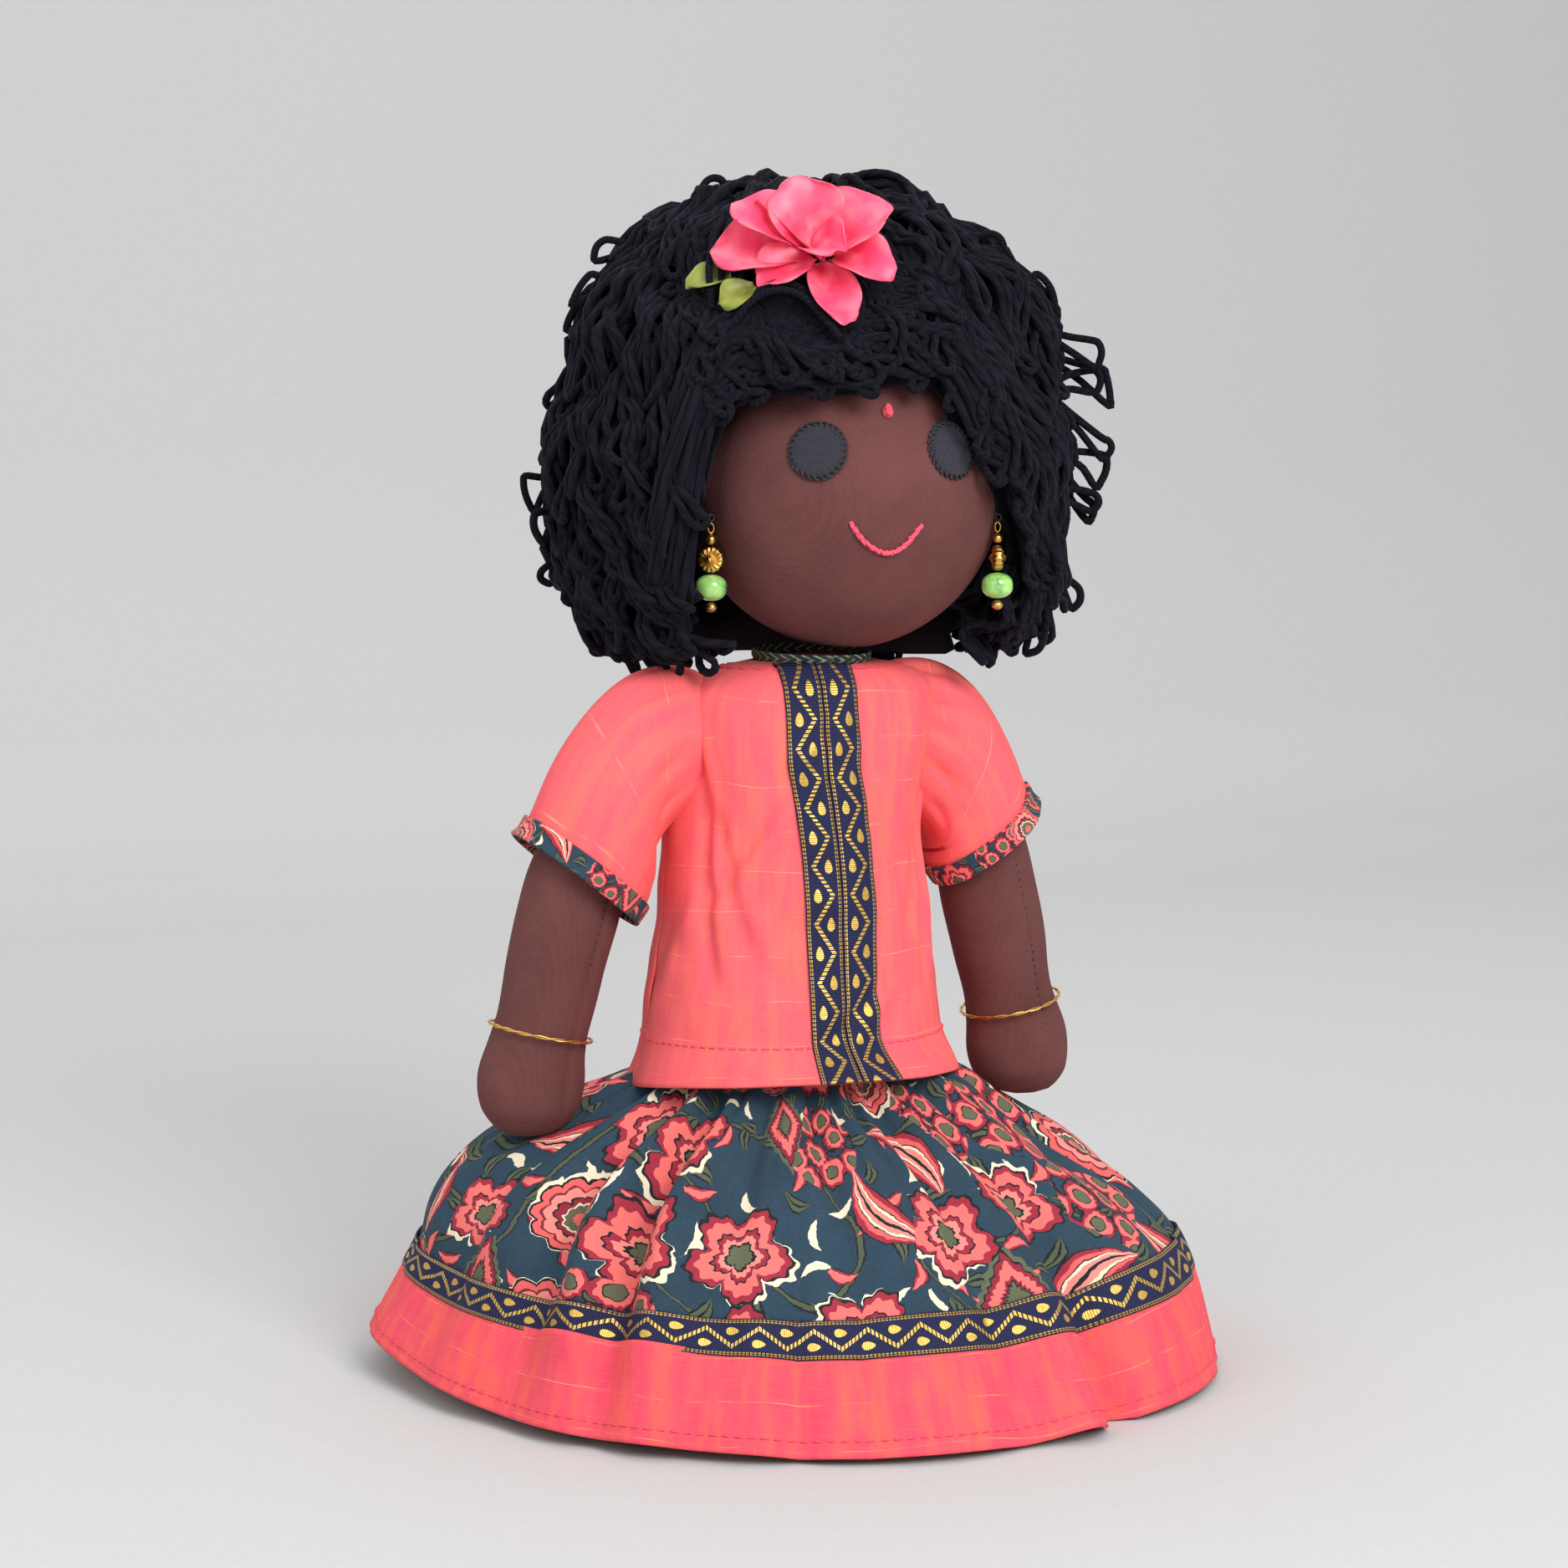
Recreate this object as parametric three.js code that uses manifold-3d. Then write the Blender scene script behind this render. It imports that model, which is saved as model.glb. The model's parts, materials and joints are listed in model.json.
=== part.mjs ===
// A stuffed cloth puppet of a village woman: round head with wool hair, coral blouse with two
// woven ribbons, gathered printed skirt. Millimetres, +Z up, the doll faces -Y, floor at z = 0.
import * as THREE from 'three';
import * as BufferGeometryUtils from 'three/addons/utils/BufferGeometryUtils.js';
import Module from 'manifold-3d';

const wasm = await Module();
wasm.setup();

// ---- driving dimensions ----
const GAP = 0.4;                    // clearance between pieces that touch
const CLOTH = 1.2;                  // thickness of one layer of blouse or skirt cloth

const BASE = { r: 36, h: 4 };       // stiff disc sewn into the bottom of the trunk
const WAIST_Z = 98;                 // where the skirt is tied
const WAIST_R = 39;                 // radius of the gathered skirt there
const HEM_R = 127.5;                // skirt radius at the hem
const BLOUSE_HEM_Z = 88;
const SHOULDER_Z = 207;
const NECK_Z = 214;                 // top of the trunk
const CHEST = { rx: 41, ry: 36 };   // half width and half depth of the blouse at the chest
const HIP = { rx: 51, ry: 44 };     // the same at the blouse hem

const COLLAR = { r: 16, wall: 1.6, h: 7 };
const NECK_AT = { x: 6, y: -3 };    // centre of the neck seen from above
const HEAD_R = 48;
const HEAD_AT = new THREE.Vector3(14, -10, NECK_Z + 9 + HEAD_R);
const FACE_YAW = -4;                // degrees the face is turned towards -X

const HAIR_R = HEAD_R + 28;
const HAIR_AT = HEAD_AT.clone().add(new THREE.Vector3(-1, 27, 16));
const HAIR_BOTTOM_Z = NECK_Z + 7;
const CROWN_Z = HEAD_AT.z + HEAD_R + 9;  // where the crown tuft meets the side hair
const FACE_OPENING = { halfWidth: HEAD_R - 3, topZ: HEAD_AT.z + 0.69 * HEAD_R, yaw: -14 };

const ARM = { r: 15.2, topZ: 200, overSkirt: 4 };
const HAND = { halfWide: 16.5, halfDeep: 13 };
const SLEEVE_ROOM = 8.8;            // from the arm to the sleeve's opening
const SLEEVE_BAND = 6;
const BANGLE = { wire: 0.8, play: 1.4, z: 108 };

const RIBBON = { width: 11.4, thick: 0.7 };
const HEM_BAND_H = 30;
const EARRING = { disc: 4, bead: 5, wire: 0.7, belowMiddle: 9, room: 10 };
const EARRING_YAW = { R: -76, L: 53 };  // angle from the front at which each one hangs
const PETAL_START = 7.5;            // from the flower's middle to the foot of a petal
const FLOWER_PETALS = [             // angle round the flower, tilt, length, width
  [75, 44, 20, 8.4], [121, 44, 20, 8.4], [160, 36, 21, 8.8], [204, 28, 17, 8.5],
  [251, 24, 16, 8.5], [299, 24, 17, 8.5], [345, 30, 20, 8.5], [30, 38, 24, 10],
];

// ---- small helpers ----
const rad = THREE.MathUtils.degToRad;
const lerp = THREE.MathUtils.lerp;
const v3 = (x, y, z) => new THREE.Vector3(x, y, z);
const doll = new THREE.Group();

function material(color, roughness = 0.9, metalness = 0) {
  return new THREE.MeshStandardMaterial({ color, roughness, metalness });
}

function add(name, geometry, look) {
  const mesh = new THREE.Mesh(geometry, look);
  mesh.name = name;
  doll.add(mesh);
  return mesh;
}

const LOOK = {
  skin: material('#5e383b'), coral: material('#f5706c'), teal: material('#2f4650'),
  kalamkari: material('#4c5340'), ribbon: material('#4d4650'), hem: material('#e8555a'),
  wool: material('#1d1b23', 1), felt: material('#403d45', 1), pink: material('#f0506c'),
  petal: material('#f4577a'), leaf: material('#8d9340'), calico: material('#d9cbb2'),
  board: material('#9c8468'), gold: material('#d9a94e', 0.35, 1), glass: material('#b9d98a', 0.2),
};

// A closed surface through rings of equal point counts, with a flat fan at each end.
function loft(rings) {
  const n = rings[0].length;
  const points = rings.flat();
  const index = [];
  for (let i = 0; i + 1 < rings.length; i++) {
    for (let j = 0; j < n; j++) {
      const a = i * n + j, b = i * n + (j + 1) % n;
      index.push(a, b, b + n, a, b + n, a + n);
    }
  }
  const last = (rings.length - 1) * n;
  for (let j = 1; j + 1 < n; j++) {
    index.push(0, j + 1, j, last, last + j, last + j + 1);
  }
  return mesh3(points, index);
}

// A wall between an outer and an inner grid of points, closed along every edge. A grid
// is rows of points; wrap joins the last point of each row to its first.
function wall(outer, inner, wrap) {
  const rows = outer.length, n = outer[0].length, half = rows * n;
  const points = [...outer.flat(), ...inner.flat()];
  const index = [];
  const quad = (a, b, c, d) => index.push(a, b, c, a, c, d);
  const columns = wrap ? n : n - 1;
  for (let i = 0; i + 1 < rows; i++) {
    for (let j = 0; j < columns; j++) {
      const a = i * n + j, b = i * n + (j + 1) % n;
      quad(a, b, b + n, a + n);
      quad(half + a + n, half + b + n, half + b, half + a);
    }
  }
  for (let j = 0; j < columns; j++) {
    const k = (j + 1) % n, top = (rows - 1) * n;
    quad(j + half, k + half, k, j);
    quad(top + j, top + k, top + k + half, top + j + half);
  }
  if (!wrap) {
    for (let i = 0; i + 1 < rows; i++) {
      const a = i * n, b = i * n + n - 1;
      quad(a + half, a, a + n, a + n + half);
      quad(b, b + half, b + n + half, b + n);
    }
  }
  return mesh3(points, index);
}

function mesh3(points, index) {
  const geometry = new THREE.BufferGeometry();
  geometry.setAttribute('position', new THREE.Float32BufferAttribute(
    points.flatMap((p) => [p.x, p.y, p.z]), 3));
  geometry.setIndex(index);
  geometry.computeVertexNormals();
  return geometry;
}

function solid(geometry) {
  const bare = geometry.clone();
  bare.deleteAttribute('normal');
  bare.deleteAttribute('uv');
  const merged = BufferGeometryUtils.mergeVertices(bare, 1e-4);
  return new wasm.Manifold(new wasm.Mesh({
    numProp: 3,
    vertProperties: new Float32Array(merged.attributes.position.array),
    triVerts: new Uint32Array(merged.index.array),
  }));
}

function geometryOf(manifold) {
  const { vertProperties, triVerts } = manifold.getMesh();
  const geometry = new THREE.BufferGeometry();
  geometry.setAttribute('position', new THREE.Float32BufferAttribute([...vertProperties], 3));
  geometry.setIndex([...triVerts]);
  geometry.computeVertexNormals();
  return geometry;
}

// A level ellipse round (x, y), seen from above anticlockwise, starting at the front.
function level(x, y, z, rx, ry, n, from = 0, sweep = 360) {
  const closed = sweep === 360;
  return Array.from({ length: closed ? n : n + 1 }, (_, j) => {
    const a = rad(from + (sweep * j) / n);
    return v3(x + rx * Math.sin(a), y - ry * Math.cos(a), z);
  });
}

// An ellipse across a line with direction t; side points along +Y for an upright line.
function across(centre, t, wide, deep, n) {
  const e1 = v3(0, 1, 0).addScaledVector(t, -t.y).normalize();
  const e2 = new THREE.Vector3().crossVectors(t, e1).normalize();
  return Array.from({ length: n }, (_, j) => {
    const a = (2 * Math.PI * j) / n;
    return centre.clone().addScaledVector(e1, deep * Math.cos(a)).addScaledVector(e2, wide * Math.sin(a));
  });
}

// Straight-line interpolation in a table of [z, ...values] rows with rising z.
function table(rows, z) {
  const i = Math.max(1, rows.findIndex((r) => r[0] >= z) === -1 ? rows.length - 1
    : rows.findIndex((r) => r[0] >= z));
  const [low, high] = [rows[i - 1], rows[i]];
  const t = (z - low[0]) / (high[0] - low[0]);
  return low.slice(1).map((value, k) => lerp(value, high[k + 1], t));
}

// ---- trunk, base and neck ----
// Outside of the blouse: height, half width, half depth, and how far it leans to the neck.
const blouseShape = [
  [BLOUSE_HEM_Z, HIP.rx, HIP.ry, 0], [WAIST_Z + 14, HIP.rx - 4, HIP.ry - 3.5, 0],
  [140, CHEST.rx + 3, CHEST.ry + 1.5, 0.1], [172, CHEST.rx, CHEST.ry, 0.25],
  [194, CHEST.rx - 1.5, CHEST.ry - 4, 0.5], [SHOULDER_Z - 2, CHEST.rx - 6, CHEST.ry - 10, 0.75],
  [SHOULDER_Z + 4, 26, 20, 0.95], [NECK_Z + 1.5, COLLAR.r - 0.5, COLLAR.r - 0.5, 1],
];

function blouseRing(z, inset, n, from = 0, sweep = 360) {
  const [rx, ry, lean] = table(blouseShape, z);
  return level(NECK_AT.x * lean, NECK_AT.y * lean, z - inset * 0.35, rx - inset, ry - inset, n, from, sweep);
}

function buildTrunk() {
  const n = 22;
  const inset = CLOTH + GAP;
  const floorZ = BASE.h + GAP;
  const rings = [
    level(0, 0, floorZ, BASE.r - 4, BASE.r - 5, n), level(0, 0, floorZ + 6, BASE.r, BASE.r - 2, n),
    level(0, 0, 60, BASE.r - 1, BASE.r - 3, n), level(0, 0, WAIST_Z, WAIST_R - 6, WAIST_R - 6, n),
  ];
  rings.push(level(0, 0, WAIST_Z + 10, WAIST_R - 3.5, WAIST_R - 4.5, n));
  for (const z of [128, 140, 172, 194, SHOULDER_Z - 2, SHOULDER_Z + 4]) {
    rings.push(blouseRing(z, inset + 0.6, n));
  }
  rings.push(level(NECK_AT.x, NECK_AT.y, NECK_Z - 2, COLLAR.r - 3.5, COLLAR.r - 3.5, n));
  add('trunk', loft(rings), LOOK.calico);

  const disc = new THREE.CylinderGeometry(BASE.r, BASE.r, BASE.h, 36);
  const base = add('base_disc', disc, LOOK.board);
  base.rotation.x = Math.PI / 2;
  base.position.z = BASE.h / 2;

  const top = HEAD_AT.z - HEAD_R;
  const neckRings = [NECK_Z - 2 + GAP, top - 1.6].map((z) =>
    level(NECK_AT.x, NECK_AT.y, z, COLLAR.r - COLLAR.wall - 2, COLLAR.r - COLLAR.wall - 2, 20));
  add('neck', loft(neckRings), LOOK.skin);
}

// ---- blouse ----
function buildBlouse() {
  const heights = [BLOUSE_HEM_Z, 100, WAIST_Z + 14, 140, 172, 194, SHOULDER_Z - 2, SHOULDER_Z + 4, NECK_Z + 1.5];
  const seam = 0.5;                 // degrees left open at each side seam
  for (const [name, from] of [['blouse_front', -90 + seam], ['blouse_back', 90 + seam]]) {
    const grid = (inset) => heights.map((z) => blouseRing(z, inset, 12, from, 180 - 2 * seam));
    add(name, wall(grid(0), grid(CLOTH), false), LOOK.coral);
  }
  const collarGrid = (r) => [0, 0.5, 1].map((t) => level(NECK_AT.x, NECK_AT.y,
    NECK_Z + 1.5 + GAP + (COLLAR.h - GAP) * t, r - t, r - t, 20));
  add('collar', wall(collarGrid(COLLAR.r), collarGrid(COLLAR.r - COLLAR.wall), true), LOOK.kalamkari);
}

// Two woven ribbons run side by side down the front of the blouse.
function buildFrontRibbons() {
  const heights = [90, 100, 112, 126, 140, 156, 172, 183, 194, 200, 204];
  const ribbonGrid = (side, lift) => heights.map((z) => {
    const [rx, ry, lean] = table(blouseShape, z);
    const sway = 1.5 * Math.sin(((z - BLOUSE_HEM_Z) / (NECK_Z - BLOUSE_HEM_Z)) * Math.PI * 2);
    const near = side < 0 ? -RIBBON.width - GAP / 2 : GAP / 2;
    return [0, 1 / 3, 2 / 3, 1].map((t) => {
      const x = NECK_AT.x * lean + sway + near + RIBBON.width * t;
      const off = x - NECK_AT.x * lean;
      const y = NECK_AT.y * lean - ry * Math.sqrt(1 - (off / rx) ** 2) - 0.3 - lift;
      return v3(x, y - 0.4, z + lift * 0.3);
    });
  });
  for (const [name, side] of [['ribbon_R', -1], ['ribbon_L', 1]]) {
    add(name, wall(ribbonGrid(side, RIBBON.thick), ribbonGrid(side, 0), false), LOOK.ribbon);
  }
}

// ---- skirt ----
// Outside of the skirt: height and radius, from the hem up to the waist.
const skirtShape = [
  [0.4, HEM_R], [12, HEM_R - 4], [HEM_BAND_H, HEM_R - 14], [42, HEM_R - 20], [52, HEM_R - 27],
  [61, HEM_R - 38], [67, HEM_R - 52], [73, HEM_R - 67], [79, 49], [85, WAIST_R + 1.2], [WAIST_Z, WAIST_R],
];
const PLEATS = 12;
const SKIRT_SIDES = 48;

function skirtRing(z, out, n = SKIRT_SIDES) {
  const [r] = table(skirtShape, z);
  const depth = 2.6 * THREE.MathUtils.smoothstep(r, 60, HEM_R);
  return level(0, 0, z, 1, 1, n).map((p, j) => {
    const ripple = depth * Math.cos((2 * Math.PI * PLEATS * j) / n + 0.9 * Math.sin((6 * Math.PI * j) / n));
    const reach = r + out + ripple;
    return v3(p.x * reach, p.y * reach, z);
  });
}

function buildSkirt() {
  const skirtBottom = HEM_BAND_H + GAP;
  const rows = [skirtBottom, 42, 52, 61, 67, 73, 79, 85, WAIST_Z];
  const steep = (z) => (z > 58 && z < 80 ? 1.6 : 0);
  const shell = (out) => rows.map((z) => skirtRing(z, out).map((p) => {
    p.z += out < 0 ? -steep(z) : 0;
    return p;
  }));
  add('skirt', wall(shell(0), shell(-CLOTH - 0.6), true), LOOK.teal);

  const bandRows = [0.4, 12, HEM_BAND_H];
  const band = (out) => bandRows.map((z) => skirtRing(z, out));
  add('hem_band', wall(band(0), band(-CLOTH - 0.6), true), LOOK.hem);

  const trimRows = [HEM_BAND_H + GAP + 0.6, HEM_BAND_H + GAP + RIBBON.width];
  const trim = (out) => trimRows.map((z) => skirtRing(z, out));
  add('skirt_ribbon', wall(trim(0.5 + RIBBON.thick), trim(0.5), true), LOOK.ribbon);

  const lining = [[2, HEM_R - 11], [HEM_BAND_H, HEM_R - 24], [50, HEM_R - 37], [64, HEM_R - 58],
    [75, WAIST_R + 1], [WAIST_Z - 4, WAIST_R - 3]];
  const underGrid = (inset) => lining.map(([z, r]) => level(0, 0, z - inset * 0.5, r - inset, r - inset, 28));
  add('petticoat', wall(underGrid(0), underGrid(1), true), LOOK.calico);

  const bandGrid = (r) => [WAIST_Z + GAP, WAIST_Z + 9].map((z) => level(0, 0, z, r, r, 24));
  add('waistband', wall(bandGrid(WAIST_R + 0.4), bandGrid(WAIST_R - 1.2), true), LOOK.teal);
}

// ---- head and face ----
// A point on the head by angle round from the face, height angle and distance out.
function onHead(yaw, lift, out) {
  const a = rad(yaw + FACE_YAW), b = rad(lift), r = HEAD_R + out;
  return v3(Math.sin(a) * Math.cos(b), -Math.cos(a) * Math.cos(b), Math.sin(b)).multiplyScalar(r).add(HEAD_AT);
}

function faceOut(mesh, yaw, lift, out) {
  mesh.position.copy(onHead(yaw, lift, out));
  const outward = mesh.position.clone().sub(HEAD_AT).normalize();
  mesh.quaternion.setFromUnitVectors(v3(0, 1, 0), outward);
}

function buildFace() {
  const ball = new THREE.SphereGeometry(HEAD_R, 24, 14);
  ball.rotateX(Math.PI / 2);
  add('head', ball, LOOK.skin).position.copy(HEAD_AT);

  const thick = 1.4;
  for (const [name, yaw] of [['eye_R', -26.5], ['eye_L', 26.5]]) {
    faceOut(add(name, new THREE.CylinderGeometry(8.2, 8.6, thick, 18), LOOK.felt), yaw, 15.5, GAP + thick / 2);
  }
  const knot = new THREE.SphereGeometry(1, 12, 8);
  knot.scale(1.5, 0.9, 2);
  faceOut(add('bindi', knot, LOOK.pink), 1, 30, GAP + 1.1);

  const mouth = [[-14.5, -10], [-9, -17], [-1, -21], [6, -18.5], [12, -11]]
    .map(([yaw, lift]) => onHead(yaw, lift, GAP + 1.1));
  const section = new THREE.Shape().absarc(0, 0, 0.95, 0, 2 * Math.PI);
  const stitch = new THREE.ExtrudeGeometry(section, {
    extrudePath: new THREE.CatmullRomCurve3(mouth), steps: 12, curveSegments: 4, bevelEnabled: false,
  });
  add('smile', stitch, LOOK.pink);
}

// ---- hair ----
function prism(outline, depth) {
  return new THREE.ExtrudeGeometry(new THREE.Shape(outline.map(([x, y]) => new THREE.Vector2(x, y))),
    { depth, bevelEnabled: false });
}

// A tall wedge of space round the hair's middle, between two angles from the front.
function wedge(from, to, lowZ, highZ) {
  const reach = 200, middle = (from + to) / 2;
  const clear = GAP / 2 / Math.sin(rad((to - from) / 2));
  const at = (angle, r) => [r * Math.sin(rad(angle)), -r * Math.cos(rad(angle))];
  const apex = at(middle, clear);
  const corners = [from, middle, to].map((a) => at(a, reach)).map(([x, y]) => [x + apex[0], y + apex[1]]);
  const space = prism([apex, ...corners], highZ - lowZ);
  space.translate(HAIR_AT.x, HAIR_AT.y, lowZ);
  return solid(space);
}

function ballSolid(radius, centre, lump) {
  const ball = new THREE.SphereGeometry(radius, 28, 16);
  ball.rotateX(Math.PI / 2);
  const p = ball.attributes.position;
  for (let i = 0; i < p.count; i++) {
    const d = v3(p.getX(i), p.getY(i), p.getZ(i)).normalize();
    const s = lump ? 1 - 0.035 * (1 - Math.cos(5 * Math.atan2(d.x, -d.y)) * Math.cos(4 * d.z)) : 1;
    p.setXYZ(i, p.getX(i) * s, p.getY(i) * s, p.getZ(i) * s);
  }
  ball.translate(centre.x, centre.y, centre.z);
  return solid(ball);
}

function earringAt(side) {
  const a = rad(EARRING_YAW[side]), reach = HEAD_R + 0.6;
  return v3(HEAD_AT.x + reach * Math.sin(a), HEAD_AT.y - reach * Math.cos(a), HEAD_AT.z - EARRING.belowMiddle);
}

function earringRoom(side) {
  const room = new THREE.CylinderGeometry(EARRING.room, EARRING.room, 60, 24);
  room.rotateX(Math.PI / 2);
  const { x, y, z } = earringAt(side);
  room.translate(x, y, z + 4 - 30);
  return solid(room);
}

function buildHair() {
  const { halfWidth, topZ, yaw } = FACE_OPENING;
  const arch = [[-halfWidth, -140], [halfWidth, -140]];
  for (let a = 0; a <= 180; a += 15) {
    arch.push([halfWidth * Math.cos(rad(a)), -6 + (topZ - HEAD_AT.z + 6) * Math.sin(rad(a))]);
  }
  const opening = prism(arch, 160);
  opening.rotateX(Math.PI / 2);
  opening.rotateZ(rad(yaw));
  opening.translate(HEAD_AT.x, HEAD_AT.y, HEAD_AT.z);
  const under = new THREE.BoxGeometry(300, 300, 100);
  under.translate(0, 0, HAIR_BOTTOM_Z - 50);
  const throat = new THREE.CylinderGeometry(36, 36, 100, 32);
  throat.rotateX(Math.PI / 2);
  throat.translate(NECK_AT.x, NECK_AT.y, HAIR_BOTTOM_Z - 38);
  const mass = ballSolid(HAIR_R, HAIR_AT, true)
    .subtract(ballSolid(HEAD_R + 2 * GAP, HEAD_AT, false))
    .subtract(solid(opening)).subtract(solid(under)).subtract(solid(throat))
    .subtract(earringRoom('R')).subtract(earringRoom('L'));
  const parts = [
    ['hair_fringe', -54, 32], ['hair_side_L', 32, 110], ['hair_back_L', 110, 180],
    ['hair_back_R', 180, 236], ['hair_side_R', 236, 306],
  ];
  for (const [name, from, to] of parts) {
    add(name, geometryOf(mass.intersect(wedge(from, to, 150, CROWN_Z - GAP / 2))), LOOK.wool);
  }
  const above = new THREE.BoxGeometry(300, 300, 100);
  above.translate(0, 0, CROWN_Z + GAP / 2 + 50);
  add('hair_crown', geometryOf(mass.intersect(solid(above))), LOOK.wool);

  const lockPath = [[15, 28], [21, 25.5], [27, 20.5], [30, 12]].map(([a, b]) => onHead(a, b, 5.2));
  const lock = new THREE.ExtrudeGeometry(new THREE.Shape().absarc(0, 0, 2.2, 0, 2 * Math.PI), {
    extrudePath: new THREE.CatmullRomCurve3(lockPath), steps: 8, curveSegments: 8, bevelEnabled: false,
  });
  add('hair_lock', lock, LOOK.wool);
}

// ---- flower on the hair ----
function buildFlower() {
  const out = v3(-0.243, -0.7, 0.676).normalize();
  const right = v3(-out.y, out.x, 0).normalize().multiplyScalar(-1).negate();
  const up = new THREE.Vector3().crossVectors(out, right).normalize();
  const heart = HAIR_AT.clone().addScaledVector(out, HAIR_R + 1.5);
  const frame = (angle, tilt) => {
    const flat = right.clone().multiplyScalar(Math.cos(rad(angle))).addScaledVector(up, Math.sin(rad(angle)));
    const along = flat.clone().multiplyScalar(Math.cos(rad(tilt))).addScaledVector(out, Math.sin(rad(tilt)));
    const face = new THREE.Vector3().crossVectors(along, new THREE.Vector3().crossVectors(out, flat)).normalize();
    const side = new THREE.Vector3().crossVectors(face, along).normalize();
    return { along, side, face };
  };
  const blade = (name, angle, tilt, start, length, width, thick, look) => {
    const { along, side, face } = frame(angle, tilt);
    const geometry = new THREE.SphereGeometry(0.5, 10, 6);
    geometry.applyMatrix4(new THREE.Matrix4().makeBasis(
      side.multiplyScalar(width), along.clone().multiplyScalar(length), face.multiplyScalar(thick)));
    if (new THREE.Matrix4().makeBasis(side, along, face).determinant() < 0) {
      geometry.index.array.reverse();
    }
    add(name, geometry, look).position.copy(heart).addScaledVector(along, start + length / 2);
  };
  FLOWER_PETALS.forEach(([angle, tilt, length, width], i) => {
    blade(`petal_${i + 1}`, angle, tilt, PETAL_START, length, width, 3.2, LOOK.petal);
  });
  blade('flower_heart', 90, 89, 0.5, 7, 5, 5, LOOK.petal);
  blade('leaf_R', 190, 3, 15, 17, 9, 1.8, LOOK.leaf);
  blade('leaf_L', 345, 3, 16, 13, 8, 1.8, LOOK.leaf);
}

// ---- earrings ----
function buildEarrings() {
  for (const [side, turn] of [['R', -30], ['L', 74]]) {
    const { x, y, z: topZ } = earringAt(side);
    const lathe = (name, profile, z, look) => {
      const geometry = new THREE.LatheGeometry(profile.map(([r, h]) => new THREE.Vector2(r, h)), 10);
      geometry.rotateX(Math.PI / 2);
      add(`earring_${side}_${name}`, geometry, look).position.set(x, y, z);
    };
    const bead = (r, half) => [0, 30, 60, 90, 120, 150, 180].map((t) =>
      [t % 180 ? r * Math.sin(rad(t)) : 0, -half * Math.cos(rad(t))]);
    lathe('wire', [[0, 0], [EARRING.wire, 0], [EARRING.wire, 3], [0, 3]], topZ - 3, LOOK.gold);
    lathe('bead', bead(1.7, 1.6), topZ - 3 - GAP - 1.6, LOOK.gold);
    const discZ = topZ - 6.2 - 2 * GAP - EARRING.disc;
    const disc = new THREE.CylinderGeometry(EARRING.disc, EARRING.disc, 1.6, 14);
    const plate = add(`earring_${side}_disc`, disc, LOOK.gold);
    plate.position.set(x, y, discZ);
    plate.rotation.z = rad(turn);
    const drumZ = discZ - EARRING.disc - GAP - 4;
    lathe('drum', bead(EARRING.bead, 4), drumZ, LOOK.glass);
    lathe('tip', bead(1.8, 1.5), drumZ - 4 - GAP - 1.5, LOOK.gold);
    const stitch = add(`ear_stitch_${side}`, new THREE.SphereGeometry(1, 8, 6), LOOK.skin);
    stitch.position.copy(v3(x, y, topZ + 1 + GAP));
  }
}

// ---- arms ----
// Height of the skirt's top side where its radius is r.
function skirtHeight(r) {
  const above = skirtShape.findIndex((row) => row[1] <= r);
  const [low, high] = [skirtShape[above - 1], skirtShape[above]];
  return lerp(low[0], high[0], (low[1] - r) / (low[1] - high[1]));
}

function armLine(s, handX, handY) {
  const shoulderX = CHEST.rx + 8;
  const tipZ = skirtHeight(handX - HAND.halfWide) + ARM.overSkirt;
  return new THREE.CatmullRomCurve3([
    v3(s * shoulderX, 0, ARM.topZ), v3(s * (shoulderX + 8), 0, 186),
    v3(s * (CHEST.rx + ARM.r + 13), handY * 0.3, 155), v3(s * (handX - 4), handY * 0.8, 112),
    v3(s * handX, handY, tipZ + 16), v3(s * (handX + 0.5), handY, tipZ),
  ]);
}

function buildArm(name, s, handX, handY) {
  const line = armLine(s, handX, handY);
  const shape = [                   // place along the arm, half width, half depth
    [0, 2.5, 6], [0.03, 5, 9.5], [0.1, 8, 12.5], [0.22, 12, ARM.r - 1], [0.4, ARM.r, ARM.r],
    [0.6, ARM.r, ARM.r - 0.6], [0.74, ARM.r - 0.7, ARM.r - 1.4], [0.84, HAND.halfWide, HAND.halfDeep],
    [0.92, HAND.halfWide - 1, HAND.halfDeep - 0.6], [0.97, HAND.halfWide - 5, HAND.halfDeep - 3.5], [1, 5, 4],
  ];
  const rings = shape.map(([t, wide, deep]) =>
    across(line.getPointAt(t), line.getTangentAt(t).negate(), wide, deep, 16)).reverse();
  add(`arm_${name}`, loft(rings), LOOK.skin);

  const wrist = [...Array(101).keys()].map((k) => k / 100).find((t) => line.getPointAt(t).z < BANGLE.z);
  const bangle = add(`bangle_${name}`, new THREE.TorusGeometry(ARM.r + BANGLE.play, BANGLE.wire, 6, 24), LOOK.gold);
  bangle.position.copy(line.getPointAt(wrist));
  bangle.quaternion.setFromUnitVectors(v3(0, 0, 1), line.getTangentAt(wrist).negate());
}

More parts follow.
